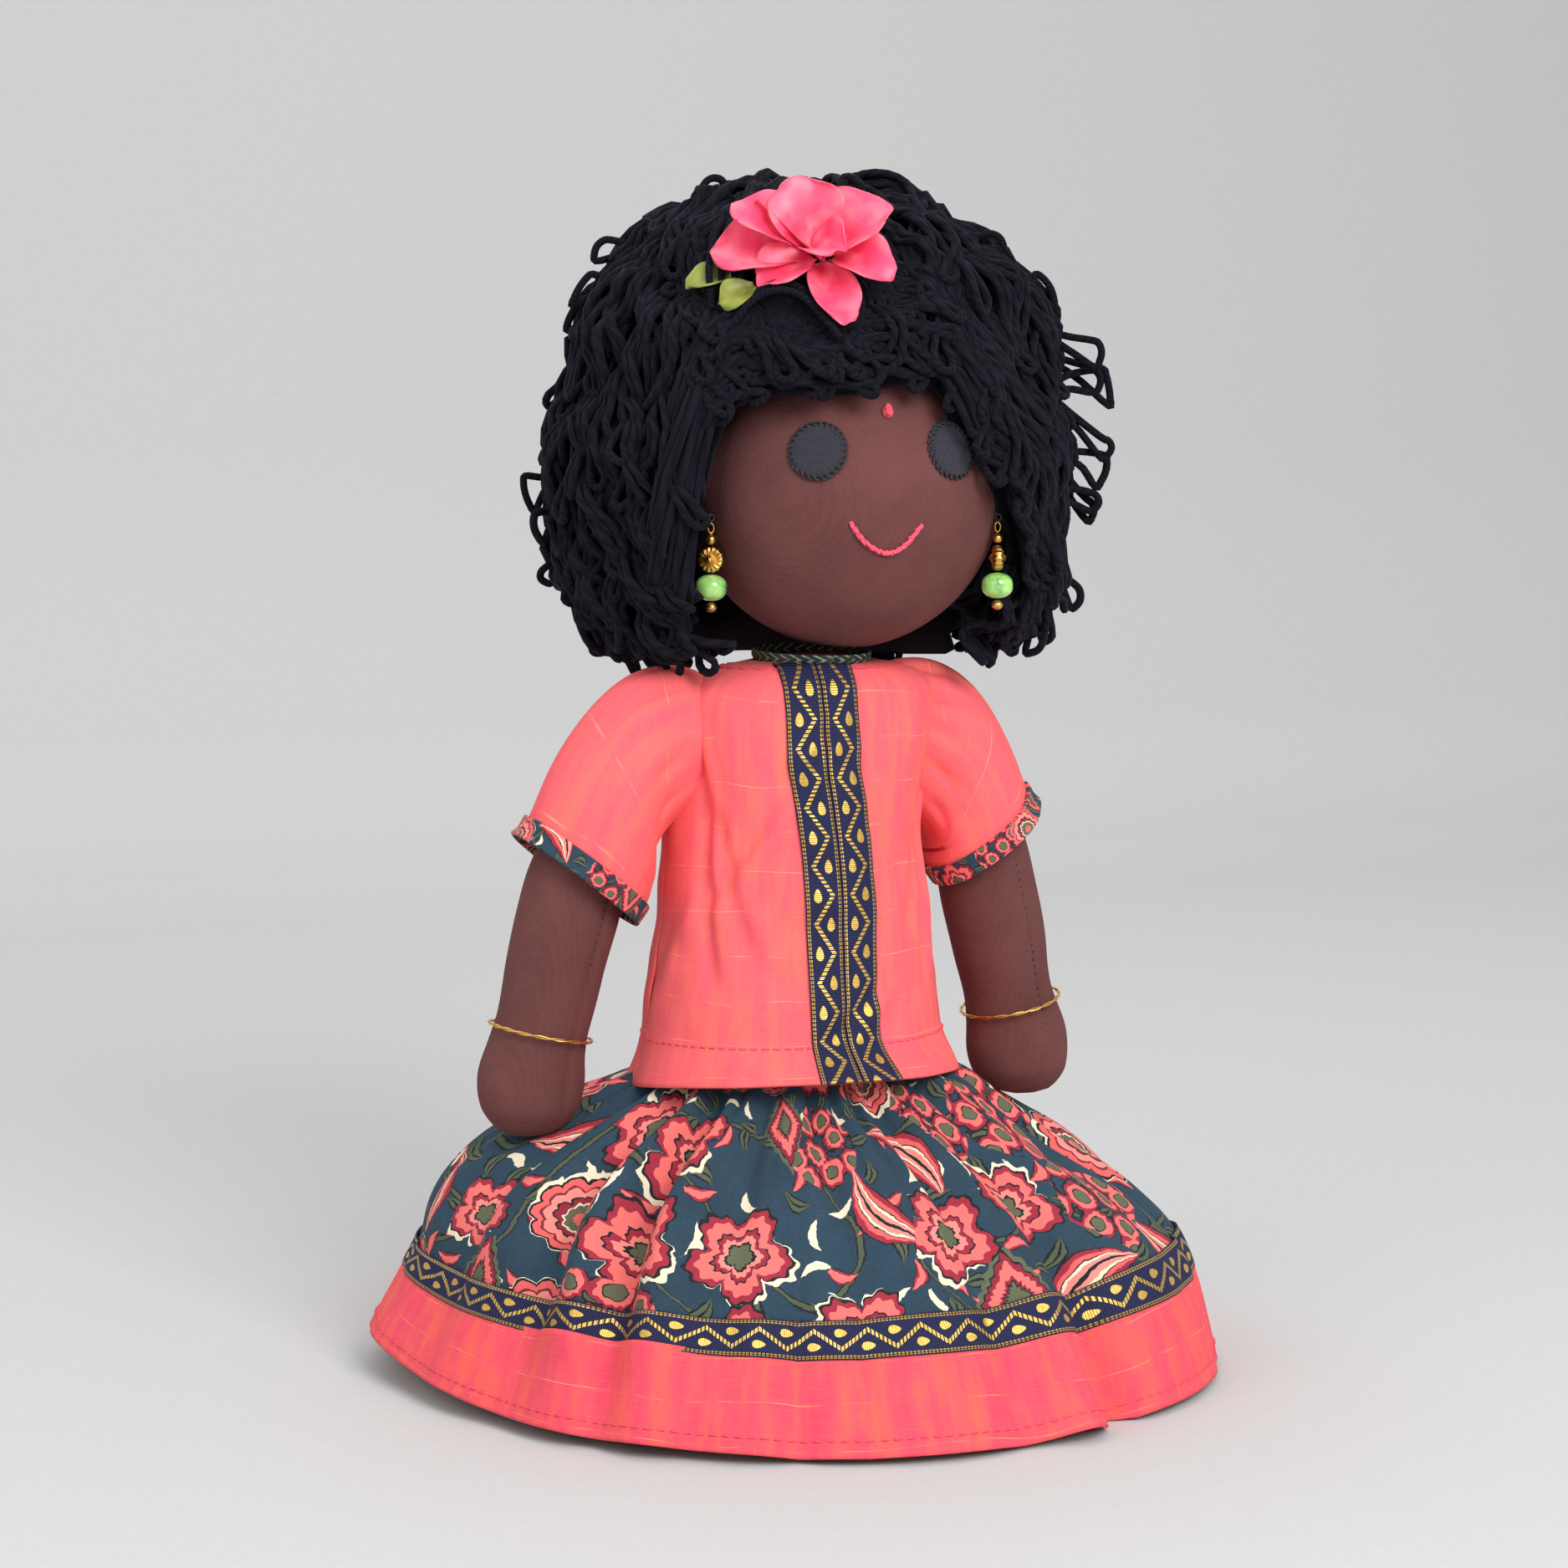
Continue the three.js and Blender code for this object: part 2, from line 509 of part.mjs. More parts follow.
// A short flared sleeve from the armhole to an opening that hangs away from the arm.
function buildSleeve(name, s, openX) {
  const stations = [                // x, z, half width, half depth, slope of the ring in degrees
    [CHEST.rx + 4.4, 184, ARM.r + 10.8, ARM.r + 1.3, 90], [CHEST.rx + 11, 180, ARM.r + 10.8, ARM.r + 3.3, 77],
    [lerp(CHEST.rx + 11, openX, 0.55), 169, ARM.r + 9.3, ARM.r + 5.3, 53],
    [openX, 158, ARM.r + SLEEVE_ROOM, ARM.r + SLEEVE_ROOM - 3, 38],
  ];
  const ring = ([x, z, wide, deep, slope], inset) => {
    const t = v3(-s * Math.sin(rad(slope)), 0, Math.cos(rad(slope)));
    return across(v3(s * x, 0, z), t, wide - inset, deep - inset, 18);
  };
  const grid = (rows, inset) => rows.map((row) => ring(row, inset)).reverse();
  add(`sleeve_${name}`, wall(grid(stations, 0), grid(stations, CLOTH), true), LOOK.coral);
  const end = stations.at(-1);
  const step = (k) => [end[0] + k * Math.sin(rad(end[4])), end[1] - k * Math.cos(rad(end[4])),
    end[2] + 0.15 * k, end[3] + 0.1 * k, end[4]];
  const bandRows = [step(GAP), step(SLEEVE_BAND)];
  add(`sleeve_band_${name}`, wall(grid(bandRows, -0.2), grid(bandRows, CLOTH), true), LOOK.kalamkari);
}

buildTrunk();
buildBlouse();
buildFrontRibbons();
buildSkirt();
buildFace();
buildHair();
buildFlower();
buildEarrings();
buildArm('R', -1, HIP.rx + HAND.halfWide + 16.5, 0);
buildArm('L', 1, HIP.rx + HAND.halfWide + 11.5, 3);
buildSleeve('R', -1, CHEST.rx + ARM.r + 11.8);
buildSleeve('L', 1, CHEST.rx + ARM.r + 10.8);

export default doll;
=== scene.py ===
"""A stuffed cloth puppet of a village woman, sewn by hand, standing on her gathered skirt."""
import json
import math
import random

import bmesh
import bpy
from mathutils import Matrix, Vector, noise


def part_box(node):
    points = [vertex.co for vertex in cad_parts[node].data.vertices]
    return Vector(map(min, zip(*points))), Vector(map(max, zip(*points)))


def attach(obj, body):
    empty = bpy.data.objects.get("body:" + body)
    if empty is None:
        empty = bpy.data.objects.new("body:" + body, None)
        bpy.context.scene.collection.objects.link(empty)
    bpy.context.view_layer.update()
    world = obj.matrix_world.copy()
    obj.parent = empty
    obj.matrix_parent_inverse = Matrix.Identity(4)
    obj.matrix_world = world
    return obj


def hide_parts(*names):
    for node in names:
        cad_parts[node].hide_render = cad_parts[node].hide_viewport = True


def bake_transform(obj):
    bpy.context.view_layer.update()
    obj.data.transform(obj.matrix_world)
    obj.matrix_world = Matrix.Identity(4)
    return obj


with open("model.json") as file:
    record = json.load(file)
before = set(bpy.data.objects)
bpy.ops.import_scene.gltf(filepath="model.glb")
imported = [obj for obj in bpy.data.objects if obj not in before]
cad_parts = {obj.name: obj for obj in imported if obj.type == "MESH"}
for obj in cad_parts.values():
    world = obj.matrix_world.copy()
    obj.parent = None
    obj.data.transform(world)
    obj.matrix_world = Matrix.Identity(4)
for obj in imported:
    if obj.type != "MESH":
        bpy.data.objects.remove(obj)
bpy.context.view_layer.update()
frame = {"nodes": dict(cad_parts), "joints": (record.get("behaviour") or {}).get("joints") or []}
MM = 0.001

# ---------------------------------------------------------------------------------------------
# The trunk: a bag of unbleached calico packed with cotton waste, on a stiff pressed-board disc
# that keeps the puppet upright. The clothes hide both, and they only show from underneath.


def linear(hex_colour):
    """An sRGB hex colour as linear RGBA."""
    parts = [int(hex_colour[i : i + 2], 16) / 255 for i in (1, 3, 5)]
    return [p / 12.92 if p <= 0.04045 else ((p + 0.055) / 1.055) ** 2.4 for p in parts] + [1.0]


def add(tree, kind, *inputs, out=0, **settings):
    """Adds a shader node. A second word in kind is its operation or data type. The inputs fill its
    live sockets in order: a socket is linked, a number, vector or hex colour is set, None is left.
    Gives one output by number or name, or all of them as a list for out=None."""
    kind, _, choice = kind.partition(" ")
    made = tree.nodes.new("ShaderNode" + kind)
    if choice:
        settings["data_type" if kind == "Mix" else "operation"] = choice
    for key, value in settings.items():
        setattr(made, key, value)
    for socket, value in zip([s for s in made.inputs if s.enabled], inputs):
        if isinstance(value, bpy.types.NodeSocket):
            tree.links.new(value, socket)
        elif value is not None:
            socket.default_value = linear(value) if isinstance(value, str) else value
    if isinstance(out, str):
        return made.outputs[out]
    live = [s for s in made.outputs if s.enabled]
    return live if out is None else live[out]


def new_material(name, roughness=0.85, metallic=0.0, specular=0.3, sheen=0.0, sheen_tint="#ffffff"):
    """A material, its node tree and its shader, with the values that are the same all over."""
    made = bpy.data.materials.new(name)
    made.use_nodes = True
    shader = made.node_tree.nodes["Principled BSDF"]
    for key, value in (("Roughness", roughness), ("Metallic", metallic), ("Specular IOR Level", specular),
                       ("Sheen Weight", sheen), ("Sheen Roughness", 0.45), ("Sheen Tint", linear(sheen_tint))):
        shader.inputs[key].default_value = value
    return made, made.node_tree, shader


def finish_surface(tree, shader, colour, height, depth_mm, strength=1.0):
    """Links the colour, and a height of 0 to 1 that raises the surface by up to that depth."""
    tree.links.new(colour, shader.inputs["Base Color"])
    made = tree.nodes.new("ShaderNodeBump")
    made.inputs["Strength"].default_value = strength
    made.inputs["Distance"].default_value = depth_mm * MM
    tree.links.new(height, made.inputs["Height"])
    tree.links.new(made.outputs["Normal"], shader.inputs["Normal"])


def weave(tree, place, thread_mm):
    """The over-and-under height of a plain weave with that thread spacing."""
    x, y, z = add(tree, "SeparateXYZ", place, out=None)
    turn = math.pi / (thread_mm * MM)
    slant = add(tree, "Math ADD", x, z)
    warp = add(tree, "Math SINE", add(tree, "Math MULTIPLY", slant, turn))
    level = add(tree, "Math SUBTRACT", y, z)
    weft = add(tree, "Math SINE", add(tree, "Math MULTIPLY", level, turn))
    crossed = add(tree, "Math MULTIPLY", warp, weft)
    return add(tree, "Math MULTIPLY_ADD", crossed, 0.5, 0.5)


def plain_cotton(name, dark, light, thread_mm, sheen=0.2):
    """Plain-woven cotton: matt, with a dry bloom of fibre and slightly uneven dye."""
    made, tree, shader = new_material(name, 0.9, specular=0.2, sheen=sheen, sheen_tint=light)
    place = add(tree, "TexCoord", out="Object")
    cloud = add(tree, "TexNoise", place, 40.0, 4.0, 0.6)
    fibre = add(tree, "TexNoise", place, 1100.0, 3.0, 0.6)
    tone = add(tree, "Mix RGBA", cloud, dark, light)
    uneven = add(tree, "TexNoise", place, 320.0, 2.0, 0.6, out="Color")    # hand-spun yarn wanders
    yarns = weave(tree, add(tree, "VectorMath MULTIPLY_ADD", uneven, (0.0016, 0.0016, 0.0016), place), thread_mm)
    speck = add(tree, "Math MULTIPLY", add(tree, "Math MULTIPLY", yarns, fibre), 0.6)
    tone = add(tree, "Mix RGBA", speck, tone, light)
    height = add(tree, "Math MULTIPLY_ADD", fibre, 1.2, add(tree, "Math MULTIPLY", yarns, 0.7))
    finish_surface(tree, shader, tone, height, 0.2, 0.7)
    return made


calico = plain_cotton("unbleached_calico", "#bfae8f", "#e2d6bd", 0.9)


def made_object(name, bm, material, body, outward=True):
    """Puts a finished bmesh into the scene as a smooth piece that rides on a body."""
    if outward:
        bmesh.ops.recalc_face_normals(bm, faces=bm.faces)
    mesh = bpy.data.meshes.new(name)
    bm.to_mesh(mesh)
    bm.free()
    return placed(name, mesh, material, body)


def placed(name, mesh, material, body):
    for polygon in mesh.polygons:
        polygon.use_smooth = True
    mesh.materials.clear()
    mesh.materials.append(material)
    piece = bpy.data.objects.new(name, mesh)
    bpy.context.scene.collection.objects.link(piece)
    if body:
        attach(piece, body)
    return piece


def between(rows, at):
    """Smooth values at a place in a table of [place, ...values] rows."""
    k = 0
    while k < len(rows) - 2 and rows[k + 1][0] < at:
        k += 1
    t = min(1.0, max(0.0, (at - rows[k][0]) / (rows[k + 1][0] - rows[k][0])))
    low, a, b, high = rows[max(k - 1, 0)], rows[k], rows[k + 1], rows[min(k + 2, len(rows) - 1)]
    return [0.5 * (2 * q + (r - p) * t + (2 * p - 5 * q + 4 * r - s) * t * t
                   + (3 * q - p - 3 * r + s) * t ** 3)
            for p, q, r, s in zip(low[1:], a[1:], b[1:], high[1:])]


# Height, half width, half depth and share of the lean to the neck, outside the blouse, in mm.
FIGURE = [[88, 50, 45, 0], [112, 46.5, 41, 0], [140, 43.5, 37.5, 0.1], [172, 41, 36, 0.25], [194, 42, 33, 0.5],
          [205, 42, 29, 0.7], [212, 39, 25, 0.86], [216.5, 32, 20.5, 0.95], [219.5, 17, 16.4, 1]]
NECK_X, NECK_Y = 6, -3


def on_figure(turn, z, out=0.0):
    """A point round the body in mm: degrees from the front towards +X, height, and mm outwards."""
    rx, ry, lean = between(FIGURE, z)
    a = math.radians(turn)
    return Vector((lean * NECK_X + (rx + out) * math.sin(a), lean * NECK_Y - (ry + out) * math.cos(a), z))


def stuffed_bag(name, node, body, material, ring, sides=48, rings=40, lump=0.6):
    """A sewn bag: ring(t, angle) gives its surface in mm from one end, t = 0, to the other, t = 1."""
    bm = bmesh.new()
    bmesh.ops.create_uvsphere(bm, u_segments=sides, v_segments=rings, radius=1.0)
    for vertex in bm.verts:
        t = math.acos(max(-1.0, min(1.0, vertex.co.z))) / math.pi
        point = ring(t, math.atan2(vertex.co.x, -vertex.co.y))
        vertex.co = (point + noise.noise_vector(point * 0.045) * lump) * MM
    piece = made_object(name, bm, material, body)
    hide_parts(node)
    return piece


def trunk_ring(t, a):
    z = 213 - 209 * t
    if z > 98:
        rx, ry, lean = between(FIGURE, max(z, 98))
        rx, ry = rx - 4.5, ry - 4.5
    else:
        rx = ry = 34.5
        lean = 0
    ends = min(1.0, math.sin(math.pi * t) * 7) ** 0.5
    return Vector((lean * NECK_X + rx * ends * math.sin(a), lean * NECK_Y - ry * ends * math.cos(a), z))


stuffed_bag("trunk_bag", "trunk", "doll", calico, trunk_ring)

board, tree, shader = new_material("pressed_board", 0.8)  # grey-brown pulp with dark flecks
place = add(tree, "TexCoord", out="Object")
pulp = add(tree, "TexNoise", place, 350.0, 6.0, 0.7)
finish_surface(tree, shader, add(tree, "Mix RGBA", pulp, "#75634c", "#b09a78"), pulp, 0.2)
frame["nodes"]["base_disc"].data.materials.clear()
frame["nodes"]["base_disc"].data.materials.append(board)

# ---------------------------------------------------------------------------------------------
# The neck and head: brown cotton bags stuffed hard. The head is a ball cut in gores and pulled
# tight, so it has a little bloom and no shine. The neck is a short roll inside the collar.

brown_cotton = plain_cotton("brown_cotton", "#4b292a", "#754845", 0.85)


def neck_ring(t, a):
    r = 12.4 * min(1.0, math.sin(math.pi * t) * 5) ** 0.5
    return Vector((NECK_X + r * math.sin(a), NECK_Y - r * math.cos(a), 213 + 8 * t))


stuffed_bag("neck_roll", "neck", "neck", brown_cotton, neck_ring, 32, 16, lump=0.1)

low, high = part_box("head")
HEAD_AT = (low + high) / 2
HEAD_R = (high.z - low.z) / 2
FACE_YAW = -4


def on_head(yaw, lift, out=0.0):
    """A point on the head in metres: degrees round from the face, degrees up, metres outwards."""
    a, b = math.radians(yaw + FACE_YAW), math.radians(lift)
    return HEAD_AT + Vector((math.sin(a) * math.cos(b), -math.cos(a) * math.cos(b), math.sin(b))) * (HEAD_R + out)


def head_ring(t, a):
    level = math.sin(math.pi * t)
    gore = abs((a / math.tau * 6 + 0.75) % 1 - 0.5)
    r = HEAD_R / MM - 0.5 * math.exp(-((gore / 0.015) ** 2)) * level
    direction = Vector((math.sin(a) * level, -math.cos(a) * level, math.cos(math.pi * t)))
    return HEAD_AT / MM + direction * (r + 0.4 * noise.noise(direction * 3))


stuffed_bag("head_ball", "head", "head", brown_cotton, head_ring, 96, 64, lump=0.35)

# ---------------------------------------------------------------------------------------------
# The face: two discs of charcoal wool felt held by a rim of stitches, a knot of pink thread on
# the forehead, and a smile worked in pink stem stitch through the cloth.

felt, tree, shader = new_material("charcoal_felt", 0.95, specular=0.15, sheen=0.3, sheen_tint="#8a8794")
place = add(tree, "TexCoord", out="Object")                 # pressed wool: matted, no weave, dull
fibre = add(tree, "TexNoise", place, 1300.0, 5.0, 0.75)
finish_surface(tree, shader, add(tree, "Mix RGBA", fibre, "#1d1c21", "#4b4953"), fibre, 0.5)


def twisted_thread(name, dark, light, twist_mm=1.1, roughness=0.6):
    """Twisted thread: a soft gloss, and a ply that shows as slanting ridges along it."""
    made, tree, shader = new_material(name, roughness, specular=0.4, sheen=0.25, sheen_tint=light)
    x, y, z = add(tree, "SeparateXYZ", add(tree, "TexCoord", out="Object"), out=None)
    slant = add(tree, "Math ADD", add(tree, "Math ADD", x, y), z)
    ply = add(tree, "Math SINE", add(tree, "Math MULTIPLY", slant, math.tau / (twist_mm * MM)))
    ply = add(tree, "Math MULTIPLY_ADD", ply, 0.5, 0.5)
    finish_surface(tree, shader, add(tree, "Mix RGBA", ply, dark, light), ply, 0.2, 0.6)
    return made


charcoal_thread = twisted_thread("charcoal_thread", "#17161b", "#3b3942")
pink_thread = twisted_thread("pink_thread", "#d62c4e", "#ff6d80")


def threads(name, paths, radius_mm, material, body, sides=6, closed=False):
    """Round threads along paths of points in metres, made one mesh."""
    curve = bpy.data.curves.new(name, "CURVE")
    curve.dimensions = "3D"
    curve.bevel_depth, curve.bevel_resolution, curve.use_fill_caps = radius_mm * MM, sides // 2 - 2, True
    for path in paths:
        spline = curve.splines.new("POLY")
        spline.points.add(len(path) - 1)
        spline.use_cyclic_u = closed
        for point, place in zip(spline.points, path):
            point.co = (*place, 1)
    holder = bpy.data.objects.new(name, curve)
    bpy.context.scene.collection.objects.link(holder)
    graph = bpy.context.evaluated_depsgraph_get()
    mesh = bpy.data.meshes.new_from_object(holder.evaluated_get(graph))
    bpy.data.objects.remove(holder)
    mesh.name = name
    return placed(name, mesh, material, body)


def onto_head(flat, yaw, lift, out_mm):
    """A point of flat work, centred on (yaw, lift), laid on the curve of the head."""
    centre = on_head(yaw, lift)
    z_axis = (centre - HEAD_AT).normalized()
    x_axis = Vector((0, 0, 1)).cross(z_axis).normalized()
    point = centre + x_axis * flat.x + z_axis.cross(x_axis) * flat.y
    return HEAD_AT + (point - HEAD_AT).normalized() * (HEAD_R + out_mm * MM + flat.z)


def build_eye(side, yaw, radius=8.4 * MM):
    bm = bmesh.new()
    bmesh.ops.create_grid(bm, x_segments=30, y_segments=30, size=1.0)
    for vertex in bm.verts:                                  # the square is drawn into a disc
        x, y = vertex.co.x, vertex.co.y
        disc = Vector((x * math.sqrt(1 - y * y / 2), y * math.sqrt(1 - x * x / 2), 0))
        rise = 0.5 + 0.9 * max(0.0, 1 - disc.length ** 6) ** 0.5
        vertex.co = onto_head(disc * radius, yaw, 15.5, rise)
    eye = made_object(f"felt_eye_{side}", bm, felt, "head", outward=False)
    modifier = eye.modifiers.new("felt thickness", "SOLIDIFY")
    modifier.thickness = 0.6 * MM
    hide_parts(f"eye_{side}")
    stitches = []
    for k in range(26):
        a0 = math.tau * k / 26
        stitches.append([onto_head(Vector((r * math.cos(a), r * math.sin(a), 0)), yaw, 15.5, h)
                         for a, r, h in ((a0, radius * 0.86, 1.0), (a0 + 0.05, radius * 0.93, 1.5),
                                         (a0 + 0.09, radius * 1.03, 0.9), (a0 + 0.2, radius * 1.05, 0.6),
                                         (a0 + 0.235, radius * 1.04, 0.5))])
    rim = threads(f"eye_stitches_{side}", stitches, 0.42, charcoal_thread, "head")


build_eye("R", -26.5)
build_eye("L", 26.5)

knot = [[onto_head(Vector(((1.1 - 0.3 * k) * math.cos(a), 1.5 * math.sin(a), 0.55 * k)) * MM, 1, 30, 0.7)
         for a in (math.tau * i / 14 for i in range(14))] for k in range(3)]
bindi = threads("bindi_knot", knot, 0.65, pink_thread, "head", closed=True)
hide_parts("bindi")


def smooth_route(points, count):
    """Points along a smooth curve through the given ones."""
    rows = [[i, *p] for i, p in enumerate(points)]
    return [Vector(between(rows, (len(rows) - 1) * i / (count - 1))) for i in range(count)]


route = smooth_route([on_head(a, b) for a, b in ((-14.5, -10), (-9, -17), (-1, -21), (6, -18.5), (12, -11))], 73)
stitches = []
for k in range(12):                                         # each stitch starts beside the last one
    piece = route[k * 6 : k * 6 + 9]
    stitches.append([])
    for i, point in enumerate(piece):
        t = i / (len(piece) - 1)
        outward = (point - HEAD_AT).normalized()
        along = (piece[-1] - piece[0]).normalized()
        stitches[-1].append(point + outward * (0.55 * math.sin(math.pi * t) ** 0.6 + 0.05) * MM
                            + outward.cross(along) * (0.5 - t) * 0.45 * MM)
smile = threads("smile_stitches", stitches, 0.75, pink_thread, "head")
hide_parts("smile")

# ---------------------------------------------------------------------------------------------
# The blouse: front and back of handloom slub cotton, coral weft on pink warp, sewn at the sides.
# Thick pale slubs run across it every 13 to 15 mm, and a line of stitches holds its hem.


def slub_cotton(name, pink, coral, orange, slub):
    """Handloom cotton on UV metres: soft upright bands of dye, and pale slubs across the cloth."""
    made, tree, shader = new_material(name, 0.85, specular=0.2, sheen=0.15, sheen_tint=slub)
    place = add(tree, "TexCoord", out="UV")
    x, y, _ = add(tree, "SeparateXYZ", place, out=None)
    upright = add(tree, "CombineXYZ", add(tree, "Math MULTIPLY", x, 150.0), add(tree, "Math MULTIPLY", y, 30.0))
    bands = add(tree, "TexNoise", upright, 1.0, 3.0, 0.6)
    tone = add(tree, "Mix RGBA", add(tree, "MapRange", bands, 0.3, 0.55), pink, coral)
    tone = add(tree, "Mix RGBA", add(tree, "MapRange", bands, 0.5, 0.85), tone, orange)
    cross = add(tree, "CombineXYZ", add(tree, "Math MULTIPLY", x, 70.0), add(tree, "Math MULTIPLY", y, 2300.0))
    yarns = add(tree, "TexNoise", cross, 1.0, 2.0, 0.5)
    tone = add(tree, "Mix RGBA", add(tree, "MapRange", yarns, 0.5, 1.1), tone, orange)
    drift = add(tree, "TexNoise", place, 26.0, 1.0, 0.5)
    rows = add(tree, "Math MULTIPLY_ADD", y, 1 / 0.0138, add(tree, "Math MULTIPLY", drift, 0.5))
    apart = add(tree, "Math ABSOLUTE", add(tree, "Math SUBTRACT", add(tree, "Math FRACT", rows), 0.5))
    strength = add(tree, "TexNoise", add(tree, "CombineXYZ", add(tree, "Math MULTIPLY", x, 85.0), rows), 1.0, 2.0)
    slubs = add(tree, "MapRange", apart, 0.024, 0.008)
    slubs = add(tree, "Math MULTIPLY", slubs, add(tree, "MapRange", strength, 0.44, 0.66))
    tone = add(tree, "Mix RGBA", add(tree, "Math MULTIPLY", slubs, 0.6), tone, slub)
    height = add(tree, "Math ADD", add(tree, "Math MULTIPLY", weave(tree, place, 0.75), 0.5), slubs)
    height = add(tree, "Math MULTIPLY_ADD", yarns, 0.7, height)
    finish_surface(tree, shader, tone, height, 0.25, 0.6)
    return made


coral_cotton = slub_cotton("coral_slub_cotton", "#ef5a6c", "#f4676a", "#f67762", "#ff9f80")
coral_thread = twisted_thread("coral_thread", "#d93a55", "#f4647a")


def cloth(name, place, columns, rows, size_mm, material, body, closed=False, thick=0.9):
    """A cloth piece made from a flat grid: place(u, v) in mm, v upwards or away, and u to the right
    seen from outside. Its UV map keeps the metres of the flat cloth."""
    bm = bmesh.new()
    bmesh.ops.create_grid(bm, x_segments=columns, y_segments=rows, size=0.5)
    uv = bm.loops.layers.uv.new("cloth")
    for face in bm.faces:
        for loop in face.loops:
            loop[uv].uv = ((loop.vert.co.x + 0.5) * size_mm[0] * MM, (loop.vert.co.y + 0.5) * size_mm[1] * MM)
    for vertex in bm.verts:
        vertex.co = place(vertex.co.x + 0.5, vertex.co.y + 0.5) * MM
    if closed:
        bmesh.ops.remove_doubles(bm, verts=bm.verts, dist=1e-6)
    piece = made_object(name, bm, material, body, outward=False)
    modifier = piece.modifiers.new("cloth thickness", "SOLIDIFY")
    modifier.thickness = thick * MM
    modifier.offset = -1
    return piece


def blouse_point(turn, z):
    """The blouse with its drag lines: it pulls in at the armholes and stands off at the hem."""
    side = math.exp(-(((abs(turn) - 62) / 16) ** 2))
    pull = 1.8 * side * math.exp(-(((z - 172) / 24) ** 2))
    crease = 0.0
    for at, slope, depth, width, low_z, high_z in CREASES:
        off = turn - at - slope * (z - 150)
        inside = max(0.0, min(1.0, (z - low_z) / 10)) * max(0.0, min(1.0, (high_z - z) / 10))
        crease -= depth * math.exp(-((off / width) ** 2)) * inside
        crease += 0.6 * depth * math.exp(-(((off - width * 1.8) / width) ** 2)) * inside
    point = on_figure(turn, z)
    soft = noise.noise(point * 0.035) * 1.5 + noise.noise(point * 0.09 + Vector((7, 0, 0))) * 0.7
    drop = max(0.0, (106 - z) / 18)
    front = max(0.0, math.cos(math.radians(turn)))
    calm = max(0.15, min(1.0, (214 - z) / 10))
    point = on_figure(turn, z, (soft + crease - pull) * calm + (1.5 + 6.5 * front) * drop ** 1.5)
    point.z += 7.5 * front * drop
    return point


CREASES = [(-58, -0.25, 1.8, 4, 120, 200), (-44, -0.5, 1.2, 4, 128, 180), (58, 0.3, 1.7, 4, 118, 200),
           (46, 0.55, 1.0, 4, 130, 176), (-72, 0.6, 1.1, 6, 96, 150), (66, -0.7, 1.2, 6, 94, 140),
           (-52, 0.9, 1.6, 5, 140, 204), (40, -0.8, 0.9, 4, 150, 200), (60, 1.4, 1.3, 5, 100, 126),
           (-125, -0.3, 1.4, 5, 120, 190), (128, 0.35, 1.4, 5, 118, 196), (170, 0.2, 0.9, 6, 100, 160)]


def build_blouse(name, node, middle, seam):
    def place(u, v):
        z = 88 + 131 * v
        return blouse_point(middle + (u - 0.5) * (180 + seam), z)

    piece = cloth(name, place, 110, 84, (150, 138), coral_cotton, "doll")
    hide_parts(node)


build_blouse("blouse_front_cloth", "blouse_front", 0, 2)
build_blouse("blouse_back_cloth", "blouse_back", 180, -2)

stitches = []
for k in range(88):                                          # hem: 3 mm running stitches, 15 mm up
    stitches.append([])
    for t, out in ((0.08, -0.35), (0.18, 0.25), (0.5, 0.4), (0.72, 0.25), (0.82, -0.35)):
        turn = 360 * (k + t) / 88 - 180
        outward = on_figure(turn, 103, 1) - on_figure(turn, 103)
        stitches[-1].append((blouse_point(turn, 103) + outward * out) * MM)
hem = threads("blouse_hem_stitches", stitches, 0.26, coral_thread, "doll", sides=4)

# ---------------------------------------------------------------------------------------------
# The collar: a standing strip of block-printed cotton, olive and indigo with pale chevrons,
# sewn round the neck opening with a line of pink topstitching below it.


def chevron_print():
    """Vegetable-dyed cotton: pale broken chevrons on dark olive, with slightly bled edges."""
    made, tree, shader = new_material("chevron_print_cotton", 0.85, specular=0.2)
    place = add(tree, "TexCoord", out="UV")
    blot = add(tree, "TexNoise", place, 420.0, 2.0, 0.6)
    x, y, _ = add(tree, "SeparateXYZ", place, out=None)
    point = add(tree, "Math PINGPONG", add(tree, "Math MULTIPLY_ADD", y, 1.0, 0.0), 0.0035)
    line = add(tree, "Math MULTIPLY_ADD", add(tree, "Math ADD", x, point), 1 / 0.0034,
               add(tree, "Math MULTIPLY", blot, 0.35))
    mark = add(tree, "Math LESS_THAN", add(tree, "Math FRACT", line), 0.3)
    patch = add(tree, "TexNoise", place, 45.0, 1.0, 0.5)
    ground = add(tree, "Mix RGBA", add(tree, "MapRange", patch, 0.42, 0.58), "#1d2c33", "#4d5440")
    tone = add(tree, "Mix RGBA", add(tree, "Math MULTIPLY", mark, add(tree, "MapRange", blot, 0.35, 0.5)),
               ground, "#8f8f70")
    finish_surface(tree, shader, tone, weave(tree, place, 0.75), 0.15, 0.6)
    return made


chevron_cotton = chevron_print()


def collar_point(u, v):
    a = math.tau * u
    r = 16.1 + 0.4 * math.sin(2 * a + 1) + 2.6 * v + 0.8 * math.sin(math.pi * v)
    z = 216.3 + (5.6 - 0.9 * math.cos(a)) * v + 0.3 * math.sin(a + 2.4) * v
    return Vector((NECK_X + r * math.sin(a), NECK_Y - r * math.cos(a), z))


collar = cloth("collar_strip", collar_point, 72, 8, (104, 10), chevron_cotton, "doll", closed=True)
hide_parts("collar")
stitches = [[on_figure(a + d, 217.2, h) * MM for d, h in ((0, 0.1), (3, 0.55), (8, 0.6), (11, 0.1))]
            for a in range(0, 360, 14)]
topstitch = threads("neck_topstitches", stitches, 0.3, coral_thread, "doll", sides=4)

